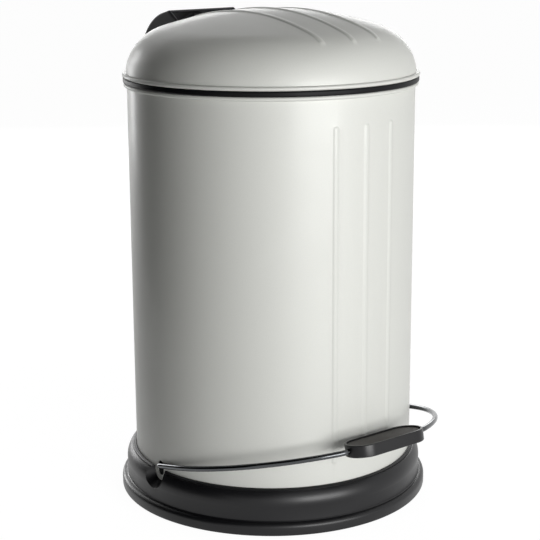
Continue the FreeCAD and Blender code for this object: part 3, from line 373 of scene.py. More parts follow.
def cut_mesh(data: Mesh, cuts: list[BMesh]) -> Mesh:
    """Take shapes away from a mesh.

    Args:
        data: closed mesh in metres.
        cuts: closed shapes in millimetres, which are freed.

    Returns:
        What is left.
    """
    carrier = put_in_scene("uncut", data)
    tools = [put_in_scene("tool", closed_mesh(work)) for work in cuts]
    for tool in tools:
        change = carrier.modifiers.new("cut", "BOOLEAN")
        change.operation = "DIFFERENCE"
        change.solver = "EXACT"
        change.object = tool
    left = plain_mesh(carrier)
    for tool in tools:
        bpy.data.objects.remove(tool)
    return left


def place_piece(name: str, data: Mesh, finish: Finish, body: Body, node: str) -> None:
    """Dress a finished mesh and ride it on its body, in place of a CAD node.

    Args:
        name: name of the piece.
        data: its mesh, which is shaded smooth between sharp creases.
        finish: its surface.
        body: body that it moves with.
        node: CAD node that it stands for.
    """
    data.name = name
    data.materials.clear()
    data.materials.append(finish.material())
    data.shade_smooth()
    data.set_sharp_from_angle(angle=SHARP_ANGLE)
    piece = put_in_scene(name, data)
    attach(piece, body.value)
    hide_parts(node)
    LOG.info("%s rides on %s", piece.name, body.value)


# Geometry Nodes

def start_tree(name: str, kinds: dict[str, str]) -> tuple[NodeTree, Adder]:
    """Start a geometry node tree with named inputs.

    Args:
        name: name of the tree.
        kinds: label of each input to the kind of its socket.

    Returns:
        The tree and what adds a node to it.
    """
    tree = bpy.data.node_groups.new(name, "GeometryNodeTree")
    for label, kind in kinds.items():
        tree.interface.new_socket(label, in_out="INPUT", socket_type=f"NodeSocket{kind}")
    tree.interface.new_socket("Mesh", in_out="OUTPUT", socket_type="NodeSocketGeometry")
    return tree, partial(add_node, tree)


def end_tree(add: Adder, shape: Node, finish: NodeSocket) -> None:
    """End a tree with real geometry in one material.

    Args:
        add: what adds a node to the tree.
        shape: node that gives the shape.
        finish: output that gives the material.
    """
    whole = add("GeometryNodeRealizeInstances", {"Geometry": shape})
    dressed = add("GeometryNodeSetMaterial", {"Geometry": whole, "Material": finish})
    add("NodeGroupOutput", {"Mesh": dressed})


def run_tree(carrier: Object, tree: NodeTree, values: dict[str, object]) -> Mesh:
    """Run a tree on a carrier, which is removed.

    Args:
        carrier: object whose geometry goes in.
        tree: the tree.
        values: label of each other input to its value.

    Returns:
        The plain mesh that comes out.
    """
    change = carrier.modifiers.new(tree.name, "NODES")
    change.node_group = tree
    for item in tree.interface.items_tree:
        if item.name in values:
            change[item.identifier] = values[item.name]
    return plain_mesh(carrier)


# Sub-assemblies, with sizes in millimetres

@dataclass
class CadSized:
    """A piece that takes its outer sizes from the CAD node that it stands for."""

    node: str
    low: float = field(init=False)
    top: float = field(init=False)
    outer: float = field(init=False)

    def __post_init__(self) -> None:
        """Read the node's lowest and highest point and half of its width."""
        low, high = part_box(self.node)
        self.low = low.z / MM
        self.top = high.z / MM
        self.outer = (high.x - low.x) / 2 / MM


@dataclass
class Pressing(CadSized):
    """What the painted pressings share: the sheet, the rolled bead and the raised ribs."""

    sheet: float = 0.8
    bead_radius: float = 1.9
    bead_steps: int = 12
    rib_radius: float = 5.4
    rib_sink: float = 4.5
    rib_steps: tuple[float, ...] = (0.0, 0.7, 1.3, 1.8, 2.15, 2.5, 2.9, 3.6)
    rib_clear_share: float = 1.2
    rib_fillet: float = 0.2

    def rise(self, offsets: list[float], beyond: float) -> float:
        """Work out how far the nearest rib stands over its sheet, with a small fillet at its foot.

        Args:
            offsets: distance from the middle line of each rib.
            beyond: distance past the end of those lines, or zero.

        Returns:
            The height, near zero away from the ribs.
        """
        left = self.rib_radius ** 2 - min(map(abs, offsets)) ** 2 - beyond ** 2
        height = math.copysign(math.sqrt(abs(left)), left) - self.rib_sink
        blend = self.rib_fillet ** 2
        return (height + math.sqrt(height ** 2 + blend)) / 2 - blend / (4 * self.rib_sink + 4 * abs(height))

    def across(self, plain: list[float], ribs: list[float], unit: float = 1.0) -> list[float]:
        """Work out mesh lines that are close together at the ribs.

        Args:
            plain: even lines, kept where they are clear of the ribs.
            ribs: middle lines of the ribs.
            unit: a millimetre on the scale of these.

        Returns:
            The lines, in order.
        """
        clear = self.rib_steps[-1] * self.rib_clear_share * unit
        kept = [at for at in plain if all(abs(at - rib) > clear for rib in ribs)]
        near = [rib + side * step * unit for rib in ribs for step in self.rib_steps for side in SIDES]
        return sorted({*kept, *near})

    def ends(self, first: float, last: float) -> list[float]:
        """Mesh lines at the two ends of the ribs, close together past them."""
        return [first - step for step in self.rib_steps] + [last + step for step in self.rib_steps]


@dataclass
class BodyShell(Pressing):
    """Rolled body with a bead at the top, three ribs on the front and a hole at each side."""

    node: str = "body_shell"
    rib_pitch_degrees: float = 13.8
    bead_offset: float = 1.2
    rib_low: float = 62.0
    rib_top_drop: float = 30.0
    rib_rows: int = 8
    slot_radius: float = 4.4
    slot_forward: float = 0.8
    slot_drop: float = 5.6
    slot_steps: int = 16
    slot_row_share: float = 3.0
    axle_height: float = 44.0
    sides: int = 144

    @property
    def radius(self) -> float:
        """Outer radius of the plain tube."""
        return self.outer - self.bead_offset - self.bead_radius

    @property
    def rib_high(self) -> float:
        """Height of the upper ends of the ribs."""
        return self.top - self.rib_top_drop

    def rib_angles(self) -> list[float]:
        """Angles of the ribs from +X; the front is at a quarter turn back."""
        pitch = math.radians(self.rib_pitch_degrees)
        return [-math.pi / 2 + side * pitch for side in RIBS]

    def angles(self) -> list[float]:
        """Angles of the mesh columns from +X, close together at the ribs."""
        plain = [a - math.pi for a in even_angles(self.sides)]
        return self.across(plain, self.rib_angles(), 1 / self.radius)

    def levels(self) -> list[float]:
        """Work out the mesh rows on the wall, close together at the ends of the ribs.

        Returns:
            Their heights, in order.
        """
        pitch = (self.rib_high - self.rib_low) / self.rib_rows
        middle = [self.rib_low + pitch * i for i in range(1, self.rib_rows)]
        hole = [self.axle_height - self.slot_row_share * self.slot_radius, self.axle_height]
        return sorted({self.low, *hole, *middle, *self.ends(self.rib_low, self.rib_high)})

    def wall(self, angle: float, z: float) -> Vector:
        """Find a point on the outside of the wall, ribs included.

        Args:
            angle: angle from +X, in radians.
            z: height.

        Returns:
            The point.
        """
        beyond = max(0.0, self.rib_low - z, z - self.rib_high)
        height = self.rise([self.radius * (angle - rib) for rib in self.rib_angles()], beyond)
        return polar(self.radius + height, angle, z)

    def slot(self, side: int) -> BMesh:
        """Make the upright slot that the wire's end is hooked in through, to cut with.

        Args:
            side: -1 for the left side, 1 for the right.

        Returns:
            The slot's shape along X.
        """
        low, high = self.axle_height - self.slot_drop, self.axle_height
        middle, radius = -self.slot_forward, self.slot_radius
        outline = arc((middle, high), radius, 0, 180, self.slot_steps)
        outline += arc((middle, low), radius, 180, 360, self.slot_steps)
        work = bmesh.new()
        ends = [[work.verts.new((side * (self.radius + reach), y, z)) for y, z in outline]
                for reach in (-radius, radius)]
        stitch(work, ends, closed=False)
        for end in ends:
            work.faces.new(end)
        return work

    def build(self) -> None:
        """Build the shell."""
        angles, work = self.angles(), bmesh.new()
        rows = [[work.verts.new(self.wall(a, z)) for a in angles] for z in self.levels()]
        centre = (self.radius + self.bead_offset, self.top - self.bead_radius)
        inner, half_sheet = self.radius - self.sheet, self.sheet / 2
        bead = arc(centre, self.bead_radius, -90, 90, self.bead_steps)
        rows += turned(work, [(self.radius, centre[1] - self.bead_radius), *bead,
                              (inner + half_sheet, self.top), (inner, self.top - half_sheet),
                              (inner, self.low)], angles)
        stitch(work, rows, closed=True)
        data = cut_mesh(closed_mesh(work), [self.slot(side) for side in SIDES])
        place_piece("painted_body", data, SILVER_PAINT, Body.BIN, self.node)


@dataclass
class LidShell(Pressing):
    """Domed lid: a crown and a tangent shoulder over a rolled bead, with three ridges along it."""

    node: str = "lid_shell"
    rib_radius: float = 4.2
    rib_sink: float = 3.0
    rib_clear_share: float = 1.1
    ridge_height: float = 1.3
    overhang: float = 1.4
    lean_degrees: float = 5.7
    shoulder: float = 48.0
    shoulder_steps: int = 14
    ridge_front: float = -115.5
    ridge_back: float = 84.0
    ridge_pitch: float = 32.2
    inset: float = 20.0
    slot_half: float = 6.3
    slot_top: float = 8.0
    slot_overrun: float = 5.0
    ceiling_shares: tuple[float, ...] = (0.75, 0.5, 0.25)
    columns: int = 72
    bead: Point = field(init=False)
    base: Point = field(init=False)
    ring: Point = field(init=False)
    apex: float = field(init=False)
    crown: float = field(init=False)
    crown_z: float = field(init=False)
    edge: float = field(init=False)

    def __post_init__(self) -> None:
        """Work out the dome's circles."""
        super().__post_init__()
        lean = math.radians(self.lean_degrees)
        self.bead = (self.outer - self.bead_radius, self.low + self.bead_radius)
        self.base = (self.bead[0] - self.overhang, self.low + 2 * self.bead_radius)
        self.apex = self.top - self.ridge_height
        self.ring = (self.base[0] - self.shoulder * math.cos(lean),
                     self.base[1] - self.shoulder * math.sin(lean))
        drop = self.ring[1] - self.apex
        self.crown = (self.shoulder ** 2 - self.ring[0] ** 2 - drop ** 2) / (2 * (drop + self.shoulder))
        self.crown_z = self.apex - self.crown
        self.edge = self.ring[0] * self.crown / (self.crown - self.shoulder)

    def surface(self, x: float, y: float) -> tuple[Vector, Vector]:
        """Find the dome over a place on the floor.

        Args:
            x: place along X.
            y: place along Y.

        Returns:
            The point on the outside and the unit normal there.
        """
        r = math.hypot(x, y)
        if r < self.edge:
            normal = Vector((x, y, math.sqrt(self.crown ** 2 - r ** 2))) / self.crown
            return Vector((0, 0, self.crown_z)) + normal * self.crown, normal
        slope = (r - self.ring[0]) / self.shoulder
        up = math.sqrt(1 - slope ** 2)
        normal = Vector((x / r * slope, y / r * slope, up))
        return Vector((x, y, self.ring[1] + self.shoulder * up)), normal

    def ridged(self, x: float, y: float) -> Vector:
        """Find a point on the outside of the dome, ridges included.

        Args:
            x: place along X.
            y: place along Y.

        Returns:
            The point.
        """
        point, normal = self.surface(x, y)
        beyond = max(0.0, y - self.ridge_back, self.ridge_front - y)
        return point + normal * self.rise([x - side * self.ridge_pitch for side in RIBS], beyond)

    def lines(self, reach: float) -> tuple[list[float], list[float]]:
        """Work out the mesh lines over the crown, close together at the ridges.

        Args:
            reach: radius of the crown's patch.

        Returns:
            X of the lines along the ridges, and shares of each line's half length, from -1 to 1.
        """
        even = [reach * math.cos(math.pi * i / self.columns) for i in range(self.columns + 1)]
        xs = self.across(even, [side * self.ridge_pitch for side in RIBS])
        half = math.sqrt(reach ** 2 - self.ridge_pitch ** 2)
        ends = self.ends(self.ridge_front, self.ridge_back)
        shares = [math.sin(math.pi / 2 * (2 * i / self.columns - 1)) for i in range(self.columns + 1)]
        shares += [end / h for end in ends for h in (reach, half) if abs(end) < h]
        return xs, sorted(set(shares))

    def build(self) -> None:
        """Build the lid."""
        work, grid = bmesh.new(), []
        reach = self.base[0] - self.inset
        xs, shares = self.lines(reach)
        for x in xs:
            half = math.sqrt(max(0.0, reach ** 2 - x ** 2))
            ys = [share * half for share in shares] if half > POLE_MM else [0.0]
            grid.append([work.verts.new(self.ridged(x, y)) for y in ys])
        stitch(work, grid, closed=False, wrap=False)
        edge = [column[-1] for column in grid] + [column[0] for column in reversed(grid[1:-1])]
        angles = [math.atan2(v.co.y, v.co.x) for v in edge]
        first = math.degrees(math.acos((reach - self.ring[0]) / self.shoulder))
        wall = self.base[0] - self.sheet
        outline = [*arc(self.ring, self.shoulder, first, self.lean_degrees, self.shoulder_steps)[1:],
                   *arc(self.bead, self.bead_radius, 90, -90, self.bead_steps), (wall, self.low),
                   *arc(self.ring, self.shoulder - self.sheet, self.lean_degrees, first, self.shoulder_steps)]
        rings = [edge, *turned(work, outline, angles)]
        for share in self.ceiling_shares:
            above = [self.surface(*polar(reach * share, a, 0.0).xy) for a in angles]
            rings.append([work.verts.new(point - normal * self.sheet) for point, normal in above])
        rings.append([work.verts.new((0, 0, self.apex - self.sheet))])
        stitch(work, rings, closed=False)
        slot = bmesh.new()
        box_mesh(slot, Vector((-self.slot_half, wall - self.slot_overrun, self.low - self.slot_overrun)),
                 Vector((self.slot_half, self.outer + self.slot_overrun, self.low + self.slot_top)))
        data = cut_mesh(closed_mesh(work), [slot])
        place_piece("painted_lid", data, SILVER_PAINT, Body.LID, self.node)


@dataclass
class RimRing(CadSized):
    """Plastic ring on the body's top edge, with a skirt inside the body."""

    node: str = "rim_ring"
    round: float = 1.2
    round_steps: int = 5
    inner_steps: int = 4
    skirt: float = 1.6
    body_gap: float = 0.3
    sides: int = 192

    def build(self, body: BodyShell) -> None:
        """Build the ring to fit a body.

        Args:
            body: the shell that it sits on.
        """
        skirt = body.radius - body.sheet - self.body_gap
        inner, edge = skirt - self.skirt, self.round / 2
        corner = self.outer - self.round
        profile = [(inner, self.low), (skirt, self.low), (skirt, body.top),
                   *arc((corner, body.top + self.round), self.round, -90, 0, self.round_steps),
                   *arc((corner, self.top - self.round), self.round, 0, 90, self.round_steps),
                   *arc((inner + edge, self.top - edge), edge, 90, 180, self.inner_steps)]
        work = bmesh.new()
        stitch(work, turned(work, profile, even_angles(self.sides)), closed=True)
        place_piece("rim_ring_piece", closed_mesh(work), EDGING_BLACK_PAINTED_SHADE, Body.BIN, self.node)


@dataclass
class FootRing(CadSized):
    """Moulded foot: lip, rounded shoulder, step and lower band, hollow below and scooped at both sides."""

    node: str = "base_ring"
    sole_round: float = 1.6
    sole_steps: int = 5
    band_height: float = 7.5
    band_round: float = 4.6
    band_steps: int = 10
    step_inset: float = 5.3
    step_height: float = 12.4
    step_bevel: float = 0.5
    wall_lean: float = 0.4
    shoulder_low: float = 24.0
    shoulder_radius: float = 17.0
    shoulder_inset: float = 10.2
    shoulder_steps: int = 14
    groove: float = 0.9
    lip_width: float = 3.2
    lip_rise: float = 0.6
    lip_bevel: float = 0.3
    socket_gap: float = 0.15
    inset: float = 4.0
    ledge_thick: float = 4.0
    wall: float = 2.6
    scoop_small: float = 8.5
    scoop_large: float = 18.0
    scoop_rise: float = 2.4
    scoop_sides: int = 96
    shelf_reach: float = 23.0
    shelf_half: float = 14.0
    sides: int = 256

    def profile(self, body: BodyShell) -> list[Point]:
        """Draw the ring's closed section.

        Args:
            body: the shell that stands in it.

        Returns:
            Radius and height of each point.
        """
        lip_top = self.top - self.lip_rise
        step = self.outer - self.step_inset
        wall, hollow = step - self.wall_lean, step - self.wall / 2
        socket = body.radius + self.socket_gap
        inner, lip = body.radius - self.inset, socket + self.lip_width
        hollow_top = body.low - self.ledge_thick - self.sole_round
        start, end = (wall, self.shoulder_low), (self.outer - self.shoulder_inset, lip_top - self.groove)
        return [
            (inner, 0.0), (socket, 0.0), (socket, hollow_top), (hollow, hollow_top), (hollow, 0.0),
            *arc((self.outer - self.sole_round, self.sole_round), self.sole_round, -90, 0, self.sole_steps),
            *arc((self.outer - self.band_round, self.band_height), self.band_round, 0, 90, self.band_steps),
            (step + self.step_bevel, self.step_height), (step, self.step_height + self.step_bevel),
            *arc_between(start, end, wall - self.shoulder_radius, self.shoulder_steps),
            (lip, lip_top - self.groove), (lip, lip_top - self.lip_bevel), (lip - self.lip_bevel, lip_top),
            (socket + self.lip_rise, self.top), (socket, lip_top), (socket, body.low), (inner, body.low),
        ]

    def scoop(self, body: BodyShell, side: int) -> BMesh:
        """Make the cone of a side's notch, to cut with.

        Args:
            body: the shell that stands in the ring.
            side: -1 for the left side, 1 for the right.

        Returns:
            The cone, wider outwards along X.
        """
        length = self.outer - body.radius
        middle = body.radius - body.sheet + length / 2
        place = Matrix.Translation((side * middle, 0, self.top - self.lip_rise - self.scoop_rise))
        work = bmesh.new()
        bmesh.ops.create_cone(work, cap_ends=True, segments=self.scoop_sides, radius1=self.scoop_small,
                              radius2=self.scoop_large, depth=length,
                              matrix=place @ Matrix.Rotation(side * math.pi / 2, 4, "Y"))
        return work

    def build(self, body: BodyShell) -> None:
        """Build the foot to fit a body, with a shelf for each axle bush.

        Args:
            body: the shell that stands in it.
        """
        work = bmesh.new()
        stitch(work, turned(work, self.profile(body), even_angles(self.sides)), closed=True)
        data = cut_mesh(closed_mesh(work), [self.scoop(body, side) for side in SIDES])
        shelves = bmesh.new()
        shelves.from_mesh(data)
        for side in SIDES:
            ends = sorted(side * (body.radius - reach) for reach in (self.shelf_reach, self.inset / 2))
            box_mesh(shelves, Vector((ends[0], -self.shelf_half, body.low - self.ledge_thick)) * MM,
                     Vector((ends[1], self.shelf_half, body.low)) * MM)
        shelves.to_mesh(data)
        shelves.free()
        place_piece("foot_ring_piece", data, BLACK_PLASTIC, Body.BIN, self.node)


@dataclass
class SmoothCopy:
    """A CAD node's own shape as one merged mesh, smooth between sharp creases."""

    node: str
    finish: Finish
    body: Body
    soften: float = 0.0
    soften_passes: int = 14
    soften_share: float = 0.35

    def softened(self, data: Mesh) -> Mesh:
        """Round every edge of a mesh, as a mould does.

        Args:
            data: closed mesh, in metres.

        Returns:
            A new mesh with small even faces, relaxed and then thinned.
        """
        carrier = put_in_scene("soften", data)
        even = carrier.modifiers.new("even", "REMESH")
        even.mode = "VOXEL"
        even.voxel_size = self.soften * MM
        relax = carrier.modifiers.new("relax", "SMOOTH")
        relax.iterations = self.soften_passes
        thin = carrier.modifiers.new("thin", "DECIMATE")
        thin.ratio = self.soften_share
        return plain_mesh(carrier)

    def build(self) -> None:
        """Copy, merge and dress the node."""
        work = merged_node(self.node)
        data = bpy.data.meshes.new(f"{self.node}_piece")
        work.to_mesh(data)
        work.free()
        if data.has_custom_normals:
            data.attributes.remove(data.attributes["custom_normal"])
        if self.soften:
            data = self.softened(data)
        place_piece(f"{self.node}_piece", data, self.finish, self.body, self.node)


@dataclass
class PedalLever:
    """Wire hoop, swept by a node tree, with its pedal, tilted about the axle."""

    radius: float = 2.5
    sides: int = 24
    body_gap: float = 1.1
    bend: float = 6.0
    bend_steps: int = 10
    stub: float = 37.6
    reach: float = 31.5
    hoop_steps: int = 40
    straight_half: float = 43.0
    entry_radius: float = 25.0
    entry_degrees: float = 25.0
    entry_steps: int = 8
    tilt_degrees: float = 13.4

    def path(self, body: BodyShell) -> list[Vector]:
        """Work out the wire's middle line, from one stub round the front to the other.

        Args:
            body: the shell that it goes round.

        Returns:
            Points along it.
        """
        side = body.radius + self.body_gap + self.radius
        bend_x = side - self.bend
        front = body.radius + self.reach
        entry = math.radians(self.entry_degrees)
        entry_x = self.straight_half + self.entry_radius * math.sin(entry)
        entry_y = front - self.entry_radius * (1 - math.cos(entry))
        hoop = (side - entry_x) / (1 - math.sin(entry))
        hoop_centre = (side - hoop, -(entry_y - hoop * math.cos(entry)))
        entry_centre = (self.straight_half, -(front - self.entry_radius))
        half = [
            (bend_x - self.stub, 0.0),
            *arc((bend_x, -self.bend), self.bend, 90, 0, self.bend_steps),
            *arc(hoop_centre, hoop, 0, self.entry_degrees - 90, self.hoop_steps),
            *arc(entry_centre, self.entry_radius, self.entry_degrees - 90, -90, self.entry_steps)[1:],
        ]
        flat = half + [(-x, y) for x, y in reversed(half)]
        turn = Matrix.Rotation(-math.radians(self.tilt_degrees), 4, "X")
        return [turn @ Vector((x, y, 0)) + Vector((0, 0, body.axle_height)) for x, y in flat]

    def tree(self) -> NodeTree:
        """Build the node tree that sweeps a circle along a curve.

        Returns:
            The tree.
        """
        tree, add = start_tree("wire_sweep", {
            "Path": "Geometry", "Wire radius": "Float", "Sides": "Int", "Finish": "Material"})
        given = add("NodeGroupInput").outputs
        circle = add("GeometryNodeCurvePrimitiveCircle", {
            "Resolution": given["Sides"], "Radius": given["Wire radius"]})
        swept = add("GeometryNodeCurveToMesh", {
            "Curve": given["Path"], "Profile Curve": circle, "Fill Caps": True})
        end_tree(add, swept, given["Finish"])
        return tree

    def build(self, body: BodyShell) -> None:
        """Sweep the wire, make it a plain mesh and dress the pedal.

        Args:
            body: the shell that the wire goes round.
        """
        path = self.path(body)
        curve = bpy.data.curves.new("pedal_hoop_path", "CURVE")
        curve.dimensions = "3D"
        spline = curve.splines.new("POLY")
        spline.points.add(len(path) - 1)
        for point, place in zip(spline.points, path):
            point.co = (*(place * MM), 1.0)
        data = run_tree(put_in_scene(curve.name, curve), self.tree(), {
            "Wire radius": self.radius * MM, "Sides": self.sides, "Finish": WIRE_PAINTED_DARK_REFLECTION.material()})
        place_piece("pedal_hoop", data, WIRE_PAINTED_DARK_REFLECTION, Body.LEVER, "pedal_wire")
        SmoothCopy("pedal_body", BLACK_PLASTIC, Body.LEVER).build()
        SmoothCopy("pedal_pad", PEDAL_RUBBER, Body.LEVER).build()


def separate_solids(node: str) -> list[list[Vector]]:
    """Split a CAD node in its separate solids.

    Args:
        node: name of the node.

    Returns:
        The vertices of each solid, in millimetres.
    """
    work = merged_node(node)
    left, solids = dict.fromkeys(work.verts), []
    while left:
        reached, solid = [left.popitem()[0]], []
        while reached:
            vert = reached.pop()
            solid.append(vert.co / MM)
            near = [other for other in (edge.other_vert(vert) for edge in vert.link_edges) if other in left]
            for other in near:
                del left[other]
            reached.extend(near)
        solids.append(solid)
    work.free()
    return sorted(solids, key=lambda solid: tuple(sum(solid, Vector()) / len(solid)))


@dataclass
class FastenerSet:
    """Headed pins in place of a CAD node's solids, set on points by a node tree."""

    node: str
    body: Body
    head_radius: float
    head_height: float
    shank_radius: float
    back_head: bool = False
    cross_slot: bool = False
    inwards: bool = False
    crown_share: float = 0.5
    slot_share: float = 1.2
    slot_width_share: float = 0.28
    sides: int = 32
    fill_rings: int = 5
    finish: Finish = ZINC_STEEL

    def places(self, pivot_of: Callable[[Vector], Vector]) -> tuple[list[Vector], list[Vector], float]:
        """Find where the heads are and which way they face.

        Args:
            pivot_of: gives, for a solid's middle, another point on its axis.

        Returns:
            The tops of the heads, the unit directions that they face and the length over all.
        """
        tops, ways, length = [], [], 0.0
        for solid in separate_solids(self.node):
            middle = sum(solid, Vector()) / len(solid)
            way = (middle - pivot_of(middle)).normalized() * (-1 if self.inwards else 1)
            along = [(vert - middle).dot(way) for vert in solid]
            tops.append(middle + way * max(along))
            ways.append(way)
            length = max(along) - min(along)
        return tops, ways, length

    def tree(self) -> NodeTree:
        """Build the node tree that sets a headed pin on each point.

        Returns:
            The tree.
        """
        tree, add = start_tree("fastener_set", {
            "Places": "Geometry", "Head radius": "Float", "Head height": "Float", "Head middle": "Vector",
            "Dome": "Vector", "Slot": "Vector", "Cross slot": "Bool", "Shank radius": "Float",
            "Shank length": "Float", "Shank middle": "Vector", "Back head": "Bool", "Back place": "Vector",
            "Finish": "Material"})
        given = add("NodeGroupInput").outputs
        disc = add("GeometryNodeMeshCylinder", {
            "Vertices": self.sides, "Side Segments": 1, "Fill Segments": self.fill_rings,
            "Radius": given["Head radius"], "Depth": given["Head height"]}, fill_type="TRIANGLE_FAN")
        # The top of the disc drops by the square of the distance from its axis
        spot = add("GeometryNodeInputPosition")
        flat = add("ShaderNodeVectorMath", {0: spot, 1: (1, 1, 0)}, operation="MULTIPLY")
        square = add("ShaderNodeVectorMath", {0: flat, 1: flat}, operation="DOT_PRODUCT").outputs["Value"]
        drop = add("ShaderNodeVectorMath", {0: given["Dome"], "Scale": square}, operation="SCALE")
        domed = add("GeometryNodeSetPosition", {
            "Geometry": disc, "Selection": disc.outputs["Top"], "Offset": drop})
        head = add("GeometryNodeTransform", {"Geometry": domed, "Translation": given["Head middle"]})
        bar = add("GeometryNodeMeshCube", {"Size": given["Slot"]})
        across = add("GeometryNodeTransform", {"Geometry": bar, "Rotation": (0, 0, math.pi / 2)})
        cross = add("GeometryNodeMeshBoolean", {"Mesh 2": [bar, across]}, operation="UNION")
        slotted = add("GeometryNodeMeshBoolean", {"Mesh 1": head, "Mesh 2": cross}, operation="DIFFERENCE")
        top = add("GeometryNodeSwitch", {"Switch": given["Cross slot"], "False": head, "True": slotted})
        pin = add("GeometryNodeMeshCylinder", {
            "Vertices": self.sides, "Radius": given["Shank radius"], "Depth": given["Shank length"]})
        shank = add("GeometryNodeTransform", {"Geometry": pin, "Translation": given["Shank middle"]})
        back = add("GeometryNodeTransform", {
            "Geometry": head, "Translation": given["Back place"], "Rotation": (math.pi, 0, 0)})
        foot = add("GeometryNodeSwitch", {"Switch": given["Back head"], "True": back})
        whole = add("GeometryNodeJoinGeometry", {"Geometry": [top, shank, foot]})
        way = add("GeometryNodeInputNamedAttribute", {"Name": "way"}, data_type="FLOAT_VECTOR")
        aim = add("FunctionNodeAlignRotationToVector", {"Vector": way}, axis="Z")
        points = add("GeometryNodeMeshToPoints", {"Mesh": given["Places"]})
        placed = add("GeometryNodeInstanceOnPoints", {"Points": points, "Instance": whole, "Rotation": aim})
        end_tree(add, placed, given["Finish"])
        return tree

    def build(self, pivot_of: Callable[[Vector], Vector]) -> None:
        """Set the fasteners and make them one plain mesh.

        Args:
            pivot_of: gives, for a solid's middle, another point on its axis.
        """
        tops, ways, length = self.places(pivot_of)
        seats = bpy.data.meshes.new(f"{self.node}_places")
        seats.from_pydata([top * MM for top in tops], [], [])
        facing = seats.attributes.new("way", "FLOAT_VECTOR", "POINT")
        for row, way in zip(facing.data, ways):
            row.vector = way
        radius, height, over_all = self.head_radius * MM, self.head_height * MM, length * MM
        data = run_tree(put_in_scene(seats.name, seats), self.tree(), {
            "Head radius": radius, "Head height": height, "Head middle": (0.0, 0.0, -height / 2),
            "Dome": (0.0, 0.0, -self.crown_share * height / radius ** 2),
            "Slot": (self.slot_share * radius, self.slot_width_share * radius, height),
            "Cross slot": self.cross_slot, "Shank radius": self.shank_radius * MM,
            "Shank length": over_all - height, "Shank middle": (0.0, 0.0, -(over_all + height) / 2),
            "Back head": self.back_head, "Back place": (0.0, 0.0, -over_all),
            "Finish": self.finish.material()})
        place_piece(f"{self.node}_piece", data, self.finish, self.body, self.node)


@dataclass
class Mechanism:
    """Hidden and small pieces that keep their CAD shape, the grip and the fasteners."""

    grip_voxel: float = 0.6
    copies: tuple[tuple[str, Finish, Body], ...] = (
        ("lid_hinge_arm", ZINC_STEEL, Body.LID),
        ("hinge_bracket", ZINC_STEEL, Body.BIN),
        ("hinge_pin", ZINC_STEEL, Body.BIN),
        ("body_bottom", ZINC_STEEL, Body.BIN),
        ("axle_bush_left", BLACK_PLASTIC, Body.BIN),
        ("axle_bush_right", BLACK_PLASTIC, Body.BIN),
        ("rod_guide", BLACK_PLASTIC, Body.BIN),
        ("axle_tube", ZINC_STEEL, Body.LEVER),
        ("lever_arm", ZINC_STEEL, Body.LEVER),
        ("push_rod", WIRE_PAINTED_DARK_REFLECTION, Body.ROD),
        ("rod_cap", BLACK_PLASTIC, Body.ROD),
        ("rod_clip", ZINC_STEEL, Body.ROD),
        ("inner_bucket", BUCKET_PLASTIC, Body.BUCKET),
        ("bucket_bail", WIRE_PAINTED_DARK_REFLECTION, Body.BAIL),
    )
    rivets: FastenerSet = field(default_factory=lambda: FastenerSet(
        "bracket_rivets", Body.BIN, head_radius=3.2, head_height=1.1, shank_radius=1.7, back_head=True))
    screws: FastenerSet = field(default_factory=lambda: FastenerSet(
        "handle_screws", Body.LID, head_radius=3.4, head_height=2.2, shank_radius=1.75, cross_slot=True,
        inwards=True))

    def build(self, lid: LidShell) -> None:
        """Dress each piece and set the fasteners.

        Args:
            lid: the shell that the screws go through.
        """
        for node, finish, body in self.copies:
            SmoothCopy(node, finish, body).build()
        SmoothCopy("lid_handle", GRIP_PLASTIC_PAINTED_SHEEN, Body.LID, soften=self.grip_voxel).build()
        self.rivets.build(lambda middle: Vector((0, 0, middle.z)))
        self.screws.build(lambda middle: Vector((0, *lid.ring)))


# Studio, in metres and degrees

@dataclass(frozen=True)
class Card:
    """A rectangle that faces the bin, at angles to the right of the camera and up."""

    name: str
    azimuth: float
    elevation: float
    distance: float
    width: float
    height: float


@dataclass(frozen=True)
class Lamp(Card):
    """A soft light, with its power in watts."""

    power: float


@dataclass(frozen=True)
class Flag(Card):
    """A dark card, with the height on the bin's axis that it faces."""

    aim_height: float


